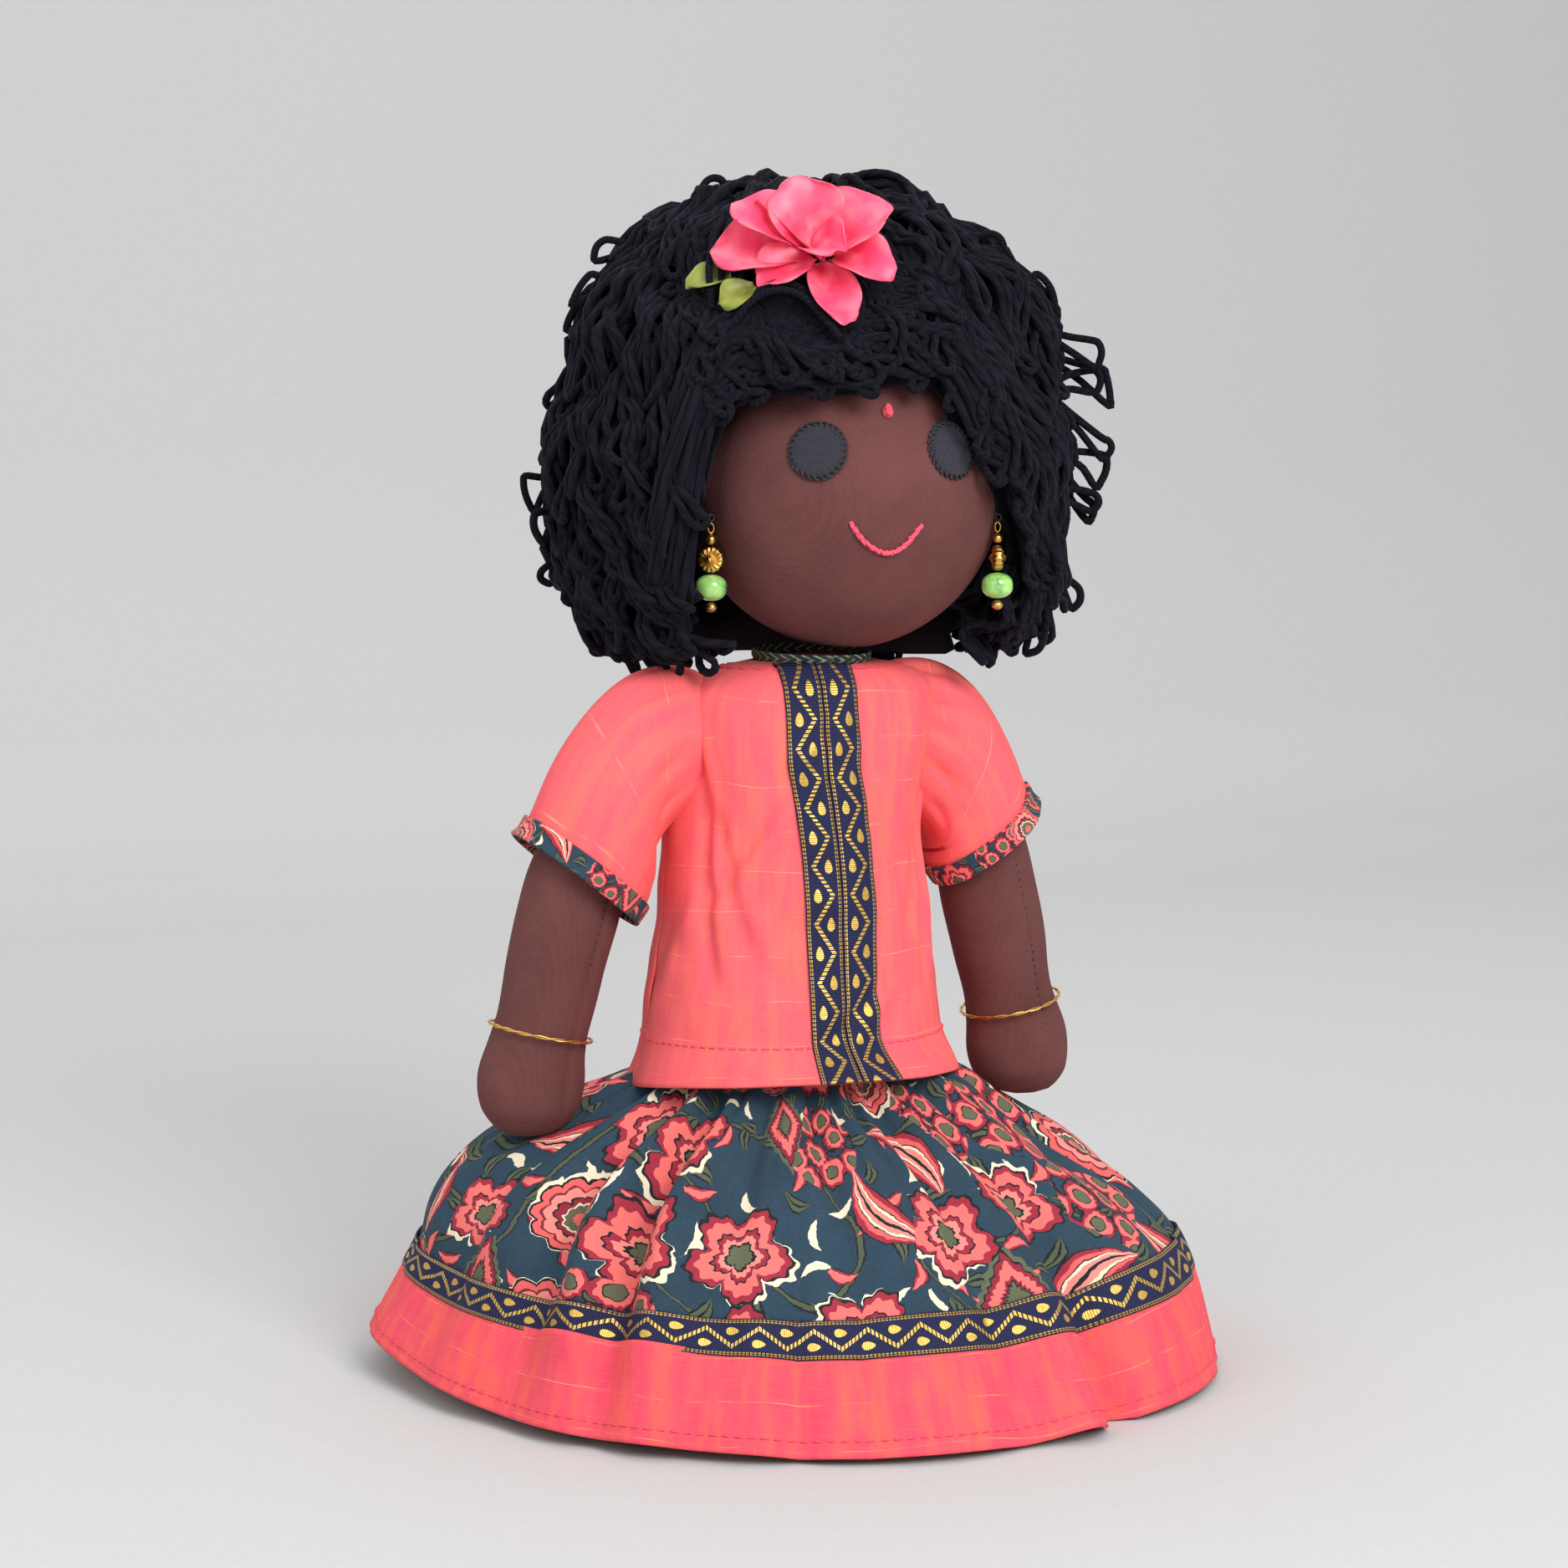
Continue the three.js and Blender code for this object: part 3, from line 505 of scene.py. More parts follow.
# ---------------------------------------------------------------------------------------------
# The front trim: two lengths of 11.4 mm navy jacquard ribbon sewn side by side down the blouse,
# with beaded gilt borders, a zigzag of gilt floats and a drop in each bay.


def gilt_ribbon(name, width_mm, turned, flip=1.0):
    """Navy ribbed ribbon with flat gilt yarn; the gilt is metal-bright and the ground is matt.
    turned says that the ribbon's length lies along U; it lies along V otherwise."""
    made, tree, shader = new_material(name, 0.7, specular=0.3)
    u, v, _ = add(tree, "SeparateXYZ", add(tree, "TexCoord", out="UV"), out=None)
    along, across = (u, v) if turned else (v, u)
    c = add(tree, "Math MULTIPLY_ADD", across, 2 * flip / (width_mm * MM), -flip)   # -1 to 1 across
    edge = add(tree, "Math ABSOLUTE", c)
    bead = add(tree, "Math SINE", add(tree, "Math MULTIPLY", along, math.tau / (1.25 * MM)))
    bead = add(tree, "Math MULTIPLY_ADD", bead, 0.5, 0.5)
    border = add(tree, "Math COMPARE", edge, 0.86, 0.085)
    split = add(tree, "Math COMPARE", edge, 0.86, 0.018)
    border = add(tree, "Math SUBTRACT", border, split)
    bay = add(tree, "Math MULTIPLY", along, 1 / (17.5 * MM))
    swing = add(tree, "Math PINGPONG", bay, 0.5)                                    # 0 to 0.5
    line = add(tree, "Math MULTIPLY_ADD", swing, 2.0, -0.5)                         # -0.5 to 0.5
    zigzag = add(tree, "Math COMPARE", c, add(tree, "Math MULTIPLY", line, 0.95), 0.125)
    marks = add(tree, "Math MAXIMUM", border, zigzag)
    marks = add(tree, "Math MULTIPLY", marks, add(tree, "MapRange", bead, 0.12, 0.3))
    for place, at in ((0.34, 0.0), (-0.34, 0.5)):
        step = add(tree, "Math FRACT", add(tree, "Math ADD", bay, 0.5 - at))
        s = add(tree, "Math MULTIPLY", add(tree, "Math SUBTRACT", step, 0.5), 17.5 / 2.1)
        narrow = add(tree, "Math MULTIPLY_ADD", s, -0.07, 0.2)
        w = add(tree, "Math DIVIDE", add(tree, "Math SUBTRACT", c, place), narrow)
        round_it = add(tree, "Math ADD", add(tree, "Math POWER", s, 2.0), add(tree, "Math POWER", w, 2.0))
        marks = add(tree, "Math MAXIMUM", marks, add(tree, "Math LESS_THAN", round_it, 1.0))
    ribs = add(tree, "Math SINE", add(tree, "Math MULTIPLY", along, math.tau / (0.62 * MM)))
    ribs = add(tree, "Math MULTIPLY_ADD", ribs, 0.5, 0.5)
    ground = add(tree, "Mix RGBA", ribs, "#0f1130", "#23264f")
    worn = add(tree, "TexNoise", add(tree, "TexCoord", out="UV"), 900.0, 2.0, 0.6)
    gilt = add(tree, "Mix RGBA", worn, "#a9771f", "#f0cf72")
    tree.links.new(add(tree, "Math MULTIPLY", marks, 0.75), shader.inputs["Metallic"])
    tree.links.new(add(tree, "Math MULTIPLY_ADD", marks, -0.32, 0.75), shader.inputs["Roughness"])
    height = add(tree, "Math MULTIPLY_ADD", marks, 1.0, add(tree, "Math MULTIPLY", ribs, 0.35))
    finish_surface(tree, shader, add(tree, "Mix RGBA", marks, ground, gilt), height, 0.3, 0.7)
    return made


# Height, and how far the join of the two ribbons lies to the left of the middle, in mm.
RIBBON_WAY = [[88, 3.4], [125, 3.4], [155, 2.6], [175, 0.6], [190, -1.3], [204, -0.6], [219, 0.4]]


def build_front_ribbon(side, near, flip):
    def place(u, v):
        z = 88.2 + 130 * v
        rx, ry, lean = between(FIGURE, z)
        off = between(RIBBON_WAY, z)[0] + near + 11.4 * u - NECK_X * lean
        turn = math.degrees(math.asin(max(-0.95, min(0.95, off / rx))))
        lift = 0.95 + 0.25 * math.sin(math.pi * u) + 0.3 * noise.noise(Vector((u, z * 0.08, near)))
        point = blouse_point(turn, z)
        steep = min(1.0, max(0.0, (z - 209) / 9))
        return point + Vector((0, -lift * (1 - 0.6 * steep), lift * steep))

    piece = cloth(f"front_ribbon_{side}", place, 8, 96, (11.4, 129),
                  gilt_ribbon(f"gilt_ribbon_{side}", 11.4, False, flip), "doll", thick=0.6)
    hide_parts(f"ribbon_{side}")


build_front_ribbon("R", -11.5, 1.0)
build_front_ribbon("L", 0.1, -1.0)

# ---------------------------------------------------------------------------------------------
# The skirt: block-printed cotton, gathered at the waist into a band and pressed out at the hem.
# Indigo-teal ground; coral, crimson and olive flowers, pods and leaves with black outlines.


def gather(turn, count, seed):
    """Uneven round folds round the waist, -1 to 1, with narrow valleys."""
    a = math.radians(turn)
    ring = Vector((math.cos(a), math.sin(a), seed))
    phase = a * count / 2 + 2.4 * noise.noise(ring * 1.7)
    size = 0.65 + 0.7 * (noise.noise(ring * 3.1 + Vector((0, 0, 5))) + 0.5)
    return (2 * abs(math.cos(phase)) ** 0.75 - 1) * size


# Radius and height in mm from waist to hem, seen from five sides.
SKIRT_SIDES = [
    (-100, [(39, 98), (42, 92), (55, 86), (75, 79), (93, 70), (105, 60), (111, 50), (114, 38), (119, 28), (124, 19), (129, 10)]),
    (-45, [(39, 98), (41, 91), (48, 84), (63, 77), (81, 69), (95, 60), (103, 49), (108, 37), (113, 26), (118, 14), (122, 2.5)]),
    (6, [(39, 98), (41, 90), (49, 82), (62, 75), (77, 67), (90, 58), (99, 47), (107, 36), (114, 24), (121, 12), (128, 0.6)]),
    (61, [(39, 98), (43, 93), (54, 88), (66, 78), (80, 68), (96, 59), (108, 50), (118, 40), (124, 27), (128, 13), (131, 0.6)]),
    (125, [(39, 98), (42, 91), (50, 84), (63, 77), (79, 69), (94, 60), (105, 49), (112, 37), (118, 25), (122, 12), (126, 0.8)]),
    (185, [(39, 98), (41, 90), (48, 82), (61, 75), (77, 67), (91, 58), (101, 47), (108, 36), (114, 24), (119, 12), (124, 0.8)]),
    (260, [(39, 98), (42, 92), (55, 86), (75, 79), (93, 70), (105, 60), (111, 50), (114, 38), (119, 28), (124, 19), (129, 10)]),
]
# Where single deep folds run: degrees, half width, and depth in mm at the waist, middle and hem.
SKIRT_FOLDS = [(-47, 3.2, 5, 11, 3), (-40, 4.0, -2, -5, -2), (-62, 3.4, 5, 8, 1), (-54, 3.4, -1, -4, 0), (-29, 3.0, 3.5, 3, 0),
               (29, 2.6, 1, 4, 8), (21, 4.5, 0, -2, -6.5), (-86, 4, 2, 4, 2), (52, 4, 2, 3, 0), (82, 4, 1, 4, 3),
               (150, 4, 2, 5, 4), (-140, 4, 2, 6, 5), (112, 3, 2, 3, 2), (-170, 4, 1, 3, 2), (4, 4, 1.5, 1, 0)]


def skirt_point(turn, s, out=0.0):
    """A point on the skirt in mm: degrees from the front, share of the way down, mm outwards."""
    turn = (turn + 100) % 360 - 100
    k = next(i for i in range(6) if turn <= SKIRT_SIDES[i + 1][0] + 1e-6)
    (a, left), (b, right) = SKIRT_SIDES[k], SKIRT_SIDES[k + 1]
    t = (turn - a) / (b - a)
    t = t * t * (3 - 2 * t)
    rows = [[i / 10, lr * (1 - t) + rr * t, lz * (1 - t) + rz * t]
            for i, ((lr, lz), (rr, rz)) in enumerate(zip(left, right))]
    r, z = between(rows, s)
    r2, z2 = between(rows, min(1.0, s + 0.02))
    r1, z1 = between(rows, max(0.0, s - 0.02))
    slope = Vector((z1 - z2, r2 - r1)).normalized()
    folds = gather(turn, 34, 1) * between([[0, 1.3], [0.12, 1.9], [0.35, 1.0], [0.65, 0.1], [1, 0.0]], s)[0]
    folds += gather(turn, 15, 2) * between([[0, 0.1], [0.2, 2.3], [0.5, 2.2], [1, 0.9]], s)[0]
    folds += gather(turn, 7, 3) * between([[0, 0.0], [0.3, 1.4], [0.7, 2.6], [1, 2.6]], s)[0]
    for at, width, top, middle, hem in SKIRT_FOLDS:
        off = (turn - at + 180) % 360 - 180
        if abs(off) < 3 * width:
            depth = between([[0, top * 0.3], [0.18, top], [0.5, middle], [1, hem]], s)[0]
            folds -= depth * math.exp(-((off / width) ** 2))
    reach = out + folds
    a = math.radians(turn)
    r, z = r + slope.x * reach, max(0.5, z + slope.y * reach)
    return Vector((r * math.sin(a), -r * math.cos(a), z))


def ringed_motif(tree, tone, share, bands):
    """Prints nested bands of colour where share, the distance from the middle over the reach, is small."""
    for limit, colour in bands:
        tone = add(tree, "Mix RGBA", add(tree, "Math LESS_THAN", share, limit), tone, colour)
    return tone


def block_print(name, shrink=1.0):
    """Hand block-printed cotton on UV metres. The motifs sit one to a cell, each turned its own way."""
    made, tree, shader = new_material(name, 0.85, specular=0.2, sheen=0.1, sheen_tint="#7a8a90")
    flat = add(tree, "TexCoord", out="UV")
    bleed = add(tree, "TexNoise", flat, 260.0 / shrink, 2.0, 0.6, out="Color")
    place = add(tree, "VectorMath MULTIPLY_ADD", bleed, (0.0022 * shrink, 0.0022 * shrink, 0), flat)
    cloud = add(tree, "TexNoise", flat, 60.0, 4.0, 0.6)
    tone = add(tree, "Mix RGBA", cloud, "#0e2a3c", "#27465a")

    stem = add(tree, "TexNoise", place, 26.0 / shrink, 0.0, 0.5)          # vines with small hooks
    off_stem = add(tree, "Math ABSOLUTE", add(tree, "Math SUBTRACT", stem, 0.5))
    tone = ringed_motif(tree, tone, off_stem, ((0.016, "#11131a"), (0.009, "#4a5540")))

    spots = add(tree, "TexVoronoi", place, 88.0 / shrink, 0.0, 0.5, 2.0, 0.8, out=None, voronoi_dimensions="2D")
    small = add(tree, "VectorMath SUBTRACT", place, spots[2])
    pick, turn, _ = add(tree, "SeparateXYZ", spots[1], out=None)
    small = add(tree, "VectorRotate", small, (0, 0, 0), add(tree, "Math MULTIPLY", turn, 6.28), rotation_type="Z_AXIS")
    sx, sy, _ = add(tree, "SeparateXYZ", small, out=None)
    bend = add(tree, "Math MULTIPLY_ADD", add(tree, "Math MULTIPLY", sx, sx), 90.0 / shrink, sy)
    tip = add(tree, "Math SUBTRACT", 1.0, add(tree, "Math POWER", add(tree, "Math DIVIDE", sx, 0.0052 * shrink), 2.0))
    leaf = add(tree, "Math DIVIDE", add(tree, "Math ABSOLUTE", bend),
               add(tree, "Math MAXIMUM", add(tree, "Math MULTIPLY", tip, 0.0019 * shrink), 0.00001))
    olive_leaf = add(tree, "Math ADD", leaf, add(tree, "Math MULTIPLY", add(tree, "Math GREATER_THAN", pick, 0.42), 9.0))
    tone = ringed_motif(tree, tone, olive_leaf, ((1.35, "#0d0f14"), (0.95, "#4f5a45"), (0.2, "#0d0f14")))
    bud = add(tree, "Math ADD", leaf, add(tree, "Math MULTIPLY", add(tree, "Math LESS_THAN", pick, 0.42), 9.0))
    bud = add(tree, "Math ADD", bud, add(tree, "Math MULTIPLY", add(tree, "Math GREATER_THAN", pick, 0.66), 9.0))
    tone = ringed_motif(tree, tone, bud, ((1.3, "#0f1116"), (1.05, "#9d2038"), (0.65, "#ea6f6a")))
    fleck = add(tree, "Math ADD", leaf, add(tree, "Math MULTIPLY", add(tree, "Math LESS_THAN", pick, 0.88), 9.0))
    tone = ringed_motif(tree, tone, fleck, ((0.75, "#e9dcc0"),))

    cells = add(tree, "TexVoronoi", place, 30.0 / shrink, 0.0, 0.5, 2.0, 0.55, out=None, voronoi_dimensions="2D")
    local = add(tree, "VectorMath SUBTRACT", place, cells[2])
    kind, turn, extra = add(tree, "SeparateXYZ", cells[1], out=None)
    local = add(tree, "VectorRotate", local, (0, 0, 0), add(tree, "Math MULTIPLY", turn, 6.28), rotation_type="Z_AXIS")
    x, y, _ = add(tree, "SeparateXYZ", local, out=None)
    reach = add(tree, "VectorMath LENGTH", local)
    angle = add(tree, "Math ARCTAN2", y, x)
    jag = add(tree, "Math SINE", add(tree, "Math MULTIPLY", angle, 21.0))
    petals = add(tree, "Math ABSOLUTE", add(tree, "Math COSINE", add(tree, "Math MULTIPLY", angle, 2.5)))
    rim = add(tree, "Math MULTIPLY_ADD", petals, 0.0052 * shrink, 0.0098 * shrink)
    rim = add(tree, "Math MULTIPLY_ADD", jag, 0.0006 * shrink, rim)
    flower = add(tree, "Math DIVIDE", reach, rim)
    scallop = add(tree, "Math ABSOLUTE", add(tree, "Math SINE", add(tree, "Math MULTIPLY", angle, 6.0)))
    pod = add(tree, "Math DIVIDE", reach, add(tree, "Math MULTIPLY_ADD", scallop, 0.0018 * shrink, 0.0128 * shrink))
    curl = add(tree, "Math MULTIPLY_ADD", add(tree, "Math MULTIPLY", x, x), 32.0 / shrink, y)
    taper = add(tree, "Math SUBTRACT", 1.0, add(tree, "Math POWER", add(tree, "Math DIVIDE", x, 0.0165 * shrink), 2.0))
    width = add(tree, "Math MAXIMUM", add(tree, "Math MULTIPLY", taper, 0.0064 * shrink), 0.00001)
    paisley = add(tree, "Math DIVIDE", add(tree, "Math ABSOLUTE", curl), width)
    lozenge = add(tree, "Math ADD", add(tree, "Math DIVIDE", add(tree, "Math ABSOLUTE", x), 0.0175 * shrink),
                  add(tree, "Math DIVIDE", add(tree, "Math ABSOLUTE", y), 0.0105 * shrink))
    lozenge = add(tree, "Math MULTIPLY_ADD", jag, 0.04, lozenge)
    shine = add(tree, "Math MAXIMUM", add(tree, "Math COSINE", add(tree, "Math ADD", angle, pick)), 0.0)
    crescent = add(tree, "Math MULTIPLY_ADD", shine, 0.17, 1.06)  # a pale edge along one side only
    cluster = add(tree, "TexVoronoi", local, 96.0 / shrink, 0.0, 0.5, 2.0, 0.35, out=None, voronoi_dimensions="2D")
    lobes = add(tree, "Math MULTIPLY_ADD", jag, 0.0004 * shrink, 0.0052 * shrink)
    florets = add(tree, "Math DIVIDE", add(tree, "Math DIVIDE", cluster[0], 96.0 / shrink), lobes)
    away = add(tree, "Math GREATER_THAN", reach, 0.0175 * shrink)
    florets = add(tree, "Math MULTIPLY_ADD", away, 9.0, florets)
    for share, low_kind, high_kind, bands in (
        (florets, 0.0, 0.2, ((1.15, "#0f1116"), (1.02, "#9d2038"), (0.82, "#ea6f6a"), (0.52, "#0f1116"),
                             (0.45, "#5c6148"))),
        (flower, 0.2, 0.36, ((crescent, "#e9dcc0"), (1.07, "#0f1116"), (1.0, "#9d2038"), (0.86, "#ea6f6a"),
                             (0.6, "#0f1116"), (0.56, "#9d2038"), (0.46, "#f08a80"), (0.33, "#0f1116"),
                             (0.27, "#5c6148"))),
        (pod, 0.36, 0.6, ((crescent, "#e9dcc0"), (1.04, "#0f1116"), (0.98, "#e6605e"), (0.82, "#7c1d30"), (0.76, "#f08a80"),
                           (0.58, "#0f1116"), (0.54, "#8d1c34"), (0.42, "#e9dcc0"), (0.37, "#5c6148"), (0.18, "#e6605e"))),
        (paisley, 0.6, 0.84, ((1.16, "#0f1116"), (1.06, "#9d2038"), (0.8, "#e6605e"), (0.56, "#0f1116"),
                              (0.5, "#e9dcc0"), (0.36, "#f08a80"), (0.1, "#0f1116"))),
        (lozenge, 0.84, 1.01, ((1.12, "#5c6148"), (0.96, "#0f1116"), (0.9, "#8d1c34"), (0.74, "#ea6f6a"),
                              (0.46, "#8d1c34"), (0.38, "#0f1116"), (0.32, "#5c6148"))),
    ):
        outside = add(tree, "Math ADD", add(tree, "Math LESS_THAN", kind, low_kind),
                      add(tree, "Math GREATER_THAN", kind, high_kind))
        tone = ringed_motif(tree, tone, add(tree, "Math MULTIPLY_ADD", outside, 9.0, share), bands)
    fade = add(tree, "Math MULTIPLY", add(tree, "TexNoise", flat, 700.0, 3.0, 0.7), 0.1)
    tone = add(tree, "Mix RGBA", fade, tone, "#8d8f8c")
    finish_surface(tree, shader, tone, weave(tree, flat, 0.7), 0.16, 0.6)
    return made


printed_cotton = block_print("block_printed_cotton")


def skirt_cloth(name, node, top, bottom, out, columns, rows, size, material, gape=None):
    """A ring of the skirt between two shares of the way down, standing out by out mm."""
    def place(u, v):
        turn = 180 + 360 * u
        s = bottom + (top - bottom) * v
        stand = out + (gape((turn + 180) % 360 - 180, v) if gape else 0.0)
        return skirt_point(turn, s, stand)

    piece = cloth(name, place, columns, rows, size, material, "doll", closed=True, thick=0.7)
    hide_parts(node)
    return piece


skirt_cloth("skirt_cloth", "skirt", 0.0, 0.79, 0.0, 430, 58, (640, 112), printed_cotton)


def waist_point(u, v):
    a = math.tau * u + math.pi
    r = 39.2 + 0.4 * noise.noise(Vector((math.cos(a), math.sin(a), v)) * 3)
    return Vector((r * math.sin(a), -r * math.cos(a), 97.5 + 10 * v))


waist = cloth("waist_strip", waist_point, 96, 6, (250, 11), printed_cotton, "doll", closed=True)
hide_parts("waistband")


def lining_point(u, v):
    turn = 360 * u + 180
    a = math.radians(turn)
    r, z = between([[0, 116, 2.5], [0.2, 103, 29], [0.45, 90, 49], [0.65, 69, 63], [0.82, 40.5, 75], [1, 36.5, 93]], v)
    r += gather(turn, 26, 4) * between([[0, 1.5], [0.5, 1.2], [0.8, 0.5], [1, 0.2]], v)[0]
    return Vector((r * math.sin(a), -r * math.cos(a), z))


lining = cloth("petticoat_cloth", lining_point, 200, 24, (620, 130), calico, "doll", closed=True)
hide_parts("petticoat")

# The skirt's trim: the same gilt ribbon sewn round, over the join with a hem band of coral slub
# cotton. The band's top edge gapes a little at the front right, and its hem is machine stitched.

band_cotton = slub_cotton("hem_slub_cotton", "#e04562", "#ec5560", "#f26a4e", "#ff9d78")
skirt_cloth("skirt_ribbon_band", "skirt_ribbon", 0.70, 0.787, 1.3, 400, 6, (790, 12.5),
            gilt_ribbon("gilt_ribbon_round", 12.5, True))


def band_gape(turn, v):
    return 2.6 * math.exp(-(((turn + 50) / 11) ** 2)) * max(0.0, v - 0.6) * 2.5


skirt_cloth("hem_band_cloth", "hem_band", 0.775, 1.0, 0.9, 400, 16, (800, 34), band_cotton,
            band_gape)
stitches = [[skirt_point(a + d, 0.955, 0.9 + h) * MM for d, h in ((0, -0.2), (0.35, 0.35), (1.0, 0.35), (1.35, -0.2))]
            for a in (360 * k / 210 for k in range(210))]
hem = threads("hem_stitches", stitches, 0.24, coral_thread, "doll", sides=4)

# ---------------------------------------------------------------------------------------------
# The arms: tapered brown cotton bags with a mitten hand, stuffed, sewn on flat at the shoulder so
# that they swing. The one seam runs down the front of each and draws the cloth in a little.

# Place along the arm from the shoulder, half width and half depth in mm.
ARM_SHAPE = [[0, 2.5, 6], [0.03, 5, 9.5], [0.1, 8, 12.5], [0.22, 12, 14.2], [0.4, 15.2, 15.2], [0.6, 15.2, 14.6],
             [0.72, 14.2, 13.6], [0.78, 15.0, 13.0], [0.86, 16.6, 13.2], [0.93, 15.2, 12.4], [0.975, 10.5, 8.4],
             [1, 3.0, 2.4]]


def arm_line(s, hand_x, hand_y, tip_z):
    middle_x = 68.5 if s < 0 else 65.0
    return [Vector((s * 49, 0, 200)), Vector((s * 57, 0, 186)), Vector((s * middle_x, hand_y * 0.3, 155)),
            Vector((s * (hand_x - 4), hand_y * 0.8, 112)), Vector((s * hand_x, hand_y, tip_z + 16)),
            Vector((s * (hand_x + 0.5), hand_y, tip_z))]


def build_arm(side, s, hand_x, hand_y, seam_deg):
    line = smooth_route(arm_line(s, hand_x, hand_y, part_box(f"arm_{side}")[0].z / MM), 121)
    lengths = [0.0]
    for a, b in zip(line, line[1:]):
        lengths.append(lengths[-1] + (b - a).length)

    def frame_at(t):
        want = t * lengths[-1]
        k = min(119, max(0, next((i for i in range(1, 121) if lengths[i] >= want), 120) - 1))
        share = (want - lengths[k]) / max(1e-9, lengths[k + 1] - lengths[k])
        along = (line[min(k + 2, 120)] - line[max(k - 1, 0)]).normalized()
        front = (Vector((0, -1, 0)) - along * -along.y).normalized()
        return line[k].lerp(line[k + 1], share), front, along.cross(front)

    def ring(t, a):
        centre, front, beside = frame_at(t)
        wide, deep = between(ARM_SHAPE, t)
        off = math.degrees((a - math.radians(seam_deg) + math.pi) % math.tau - math.pi)
        seam = 1 - 0.055 * math.exp(-((off / 4.5) ** 2)) * min(1.0, 12 * t * (1 - t))
        return centre + (front * deep * math.cos(a) - beside * wide * math.sin(a)) * seam

    stuffed_bag(f"arm_bag_{side}", f"arm_{side}", f"arm_{side}", brown_cotton, ring, 64, 84, 0.8)
    tacks = []
    for k in range(34):                                      # seam stitches, 3 mm apart
        t = 0.3 + 0.64 * k / 34
        a = math.radians(seam_deg)
        tacks.append([ring(t + d, a) * MM + (ring(t + d, a) - frame_at(t + d)[0]).normalized() * h * MM
                      for d, h in ((0, -0.1), (0.004, 0.25), (0.008, -0.1))])
    tack = threads(f"arm_seam_{side}", tacks, 0.2, charcoal_thread, f"arm_{side}", sides=4)


build_arm("R", -1, 84, 0, 28)
build_arm("L", 1, 79, 3, 24)

# ---------------------------------------------------------------------------------------------
# The sleeves: short flared tubes of the blouse cotton set into the armholes, bound with a folded
# strip of the printed cotton. The armhole seam gathers the cloth into a few soft folds.

binding_cotton = block_print("binding_print_cotton", 0.5)


def sleeve_rows(open_x, open_z, half):
    """Middle x and z, half width, half depth and slope of each ring in mm and degrees."""
    middle_x = 52 + (open_x - 52) * 0.55
    end = math.radians(38)
    return [[0, 30, 195, 19, 13, 98], [0.18, 39, 193, 24, 15, 96], [0.34, 47.5, 188.5, 27.5, 17.6, 89],
            [0.48, 53.5, 182.5, 27, 19, 76], [0.72, middle_x + 1, (182.5 + open_z) / 2 + 0.5, half + 2.4, 20.2, 55],
            [0.9, open_x, open_z, half, 19.8, 38],
            [1.0, open_x + 6.2 * math.sin(end), open_z - 6.2 * math.cos(end), half + 0.3, 20.0, 38]]


def build_sleeve(side, s, open_x, open_z, half, seed):
    rows = sleeve_rows(open_x, open_z, half)

    def ring(t, a, out):
        x, z, wide, deep, slope = between(rows, t)
        b = math.radians(slope)
        up = Vector((s * math.cos(b), 0, math.sin(b)))
        ripple = 0.7 * math.sin(5 * a + seed) * math.sin(math.pi * min(t * 1.1, 1))
        ripple += 1.2 * noise.noise(Vector((math.cos(a) * 1.6, math.sin(a) * 1.6, t * 2.2 + seed)))
        tuck = 1.6 * math.exp(-(((t - 0.3) / 0.09) ** 2)) * abs(math.sin(6.5 * a + seed)) ** 6
        r = out + ripple - tuck
        around = up * (wide + r) * math.cos(a) - Vector((0, 1, 0)) * (deep + r) * math.sin(a)
        return Vector((s * x, 0, z)) + around

    def place_on(top, bottom, out):
        def place(u, v):
            a = s * math.tau * (u + 0.5)
            return ring(bottom + (top - bottom) * v, a, out)
        return place

    sleeve = cloth(f"sleeve_cloth_{side}", place_on(0.0, 0.905, 0.0), 84, 40, (150, 46), coral_cotton,
                   None, closed=True)
    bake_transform(sleeve)
    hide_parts(f"sleeve_{side}")

    band = cloth(f"sleeve_binding_{side}", place_on(0.885, 1.0, 0.8), 84, 8, (150, 7.5), binding_cotton,
                 f"arm_{side}", closed=True, thick=1.6)
    bevel = band.modifiers.new("folded edge", "BEVEL")
    bevel.width, bevel.segments = 0.5 * MM, 2
    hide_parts(f"sleeve_band_{side}")


build_sleeve("R", -1, 66.5, 158, 21.5, 0.4)
build_sleeve("L", 1, 62.5, 164, 19.0, 2.1)

# ---------------------------------------------------------------------------------------------
# The bangles: two turns of gilt wire twisted together round each wrist, ends knotted, loose
# enough to turn.


def polished_metal(name, base, shade, roughness):
    """Gilt brass: bright, with a darker lacquer in the hollows and fine handling marks."""
    made, tree, shader = new_material(name, roughness, metallic=1.0, specular=0.5)
    place = add(tree, "TexCoord", out="Object")
    wear = add(tree, "TexNoise", place, 500.0, 4.0, 0.6)
    tree.links.new(add(tree, "Math MULTIPLY_ADD", wear, 0.3, roughness - 0.12), shader.inputs["Roughness"])
    finish_surface(tree, shader, add(tree, "Mix RGBA", wear, shade, base), wear, 0.05, 0.5)
    return made


gilt = polished_metal("gilt_brass", "#f6c878", "#b88433", 0.3)


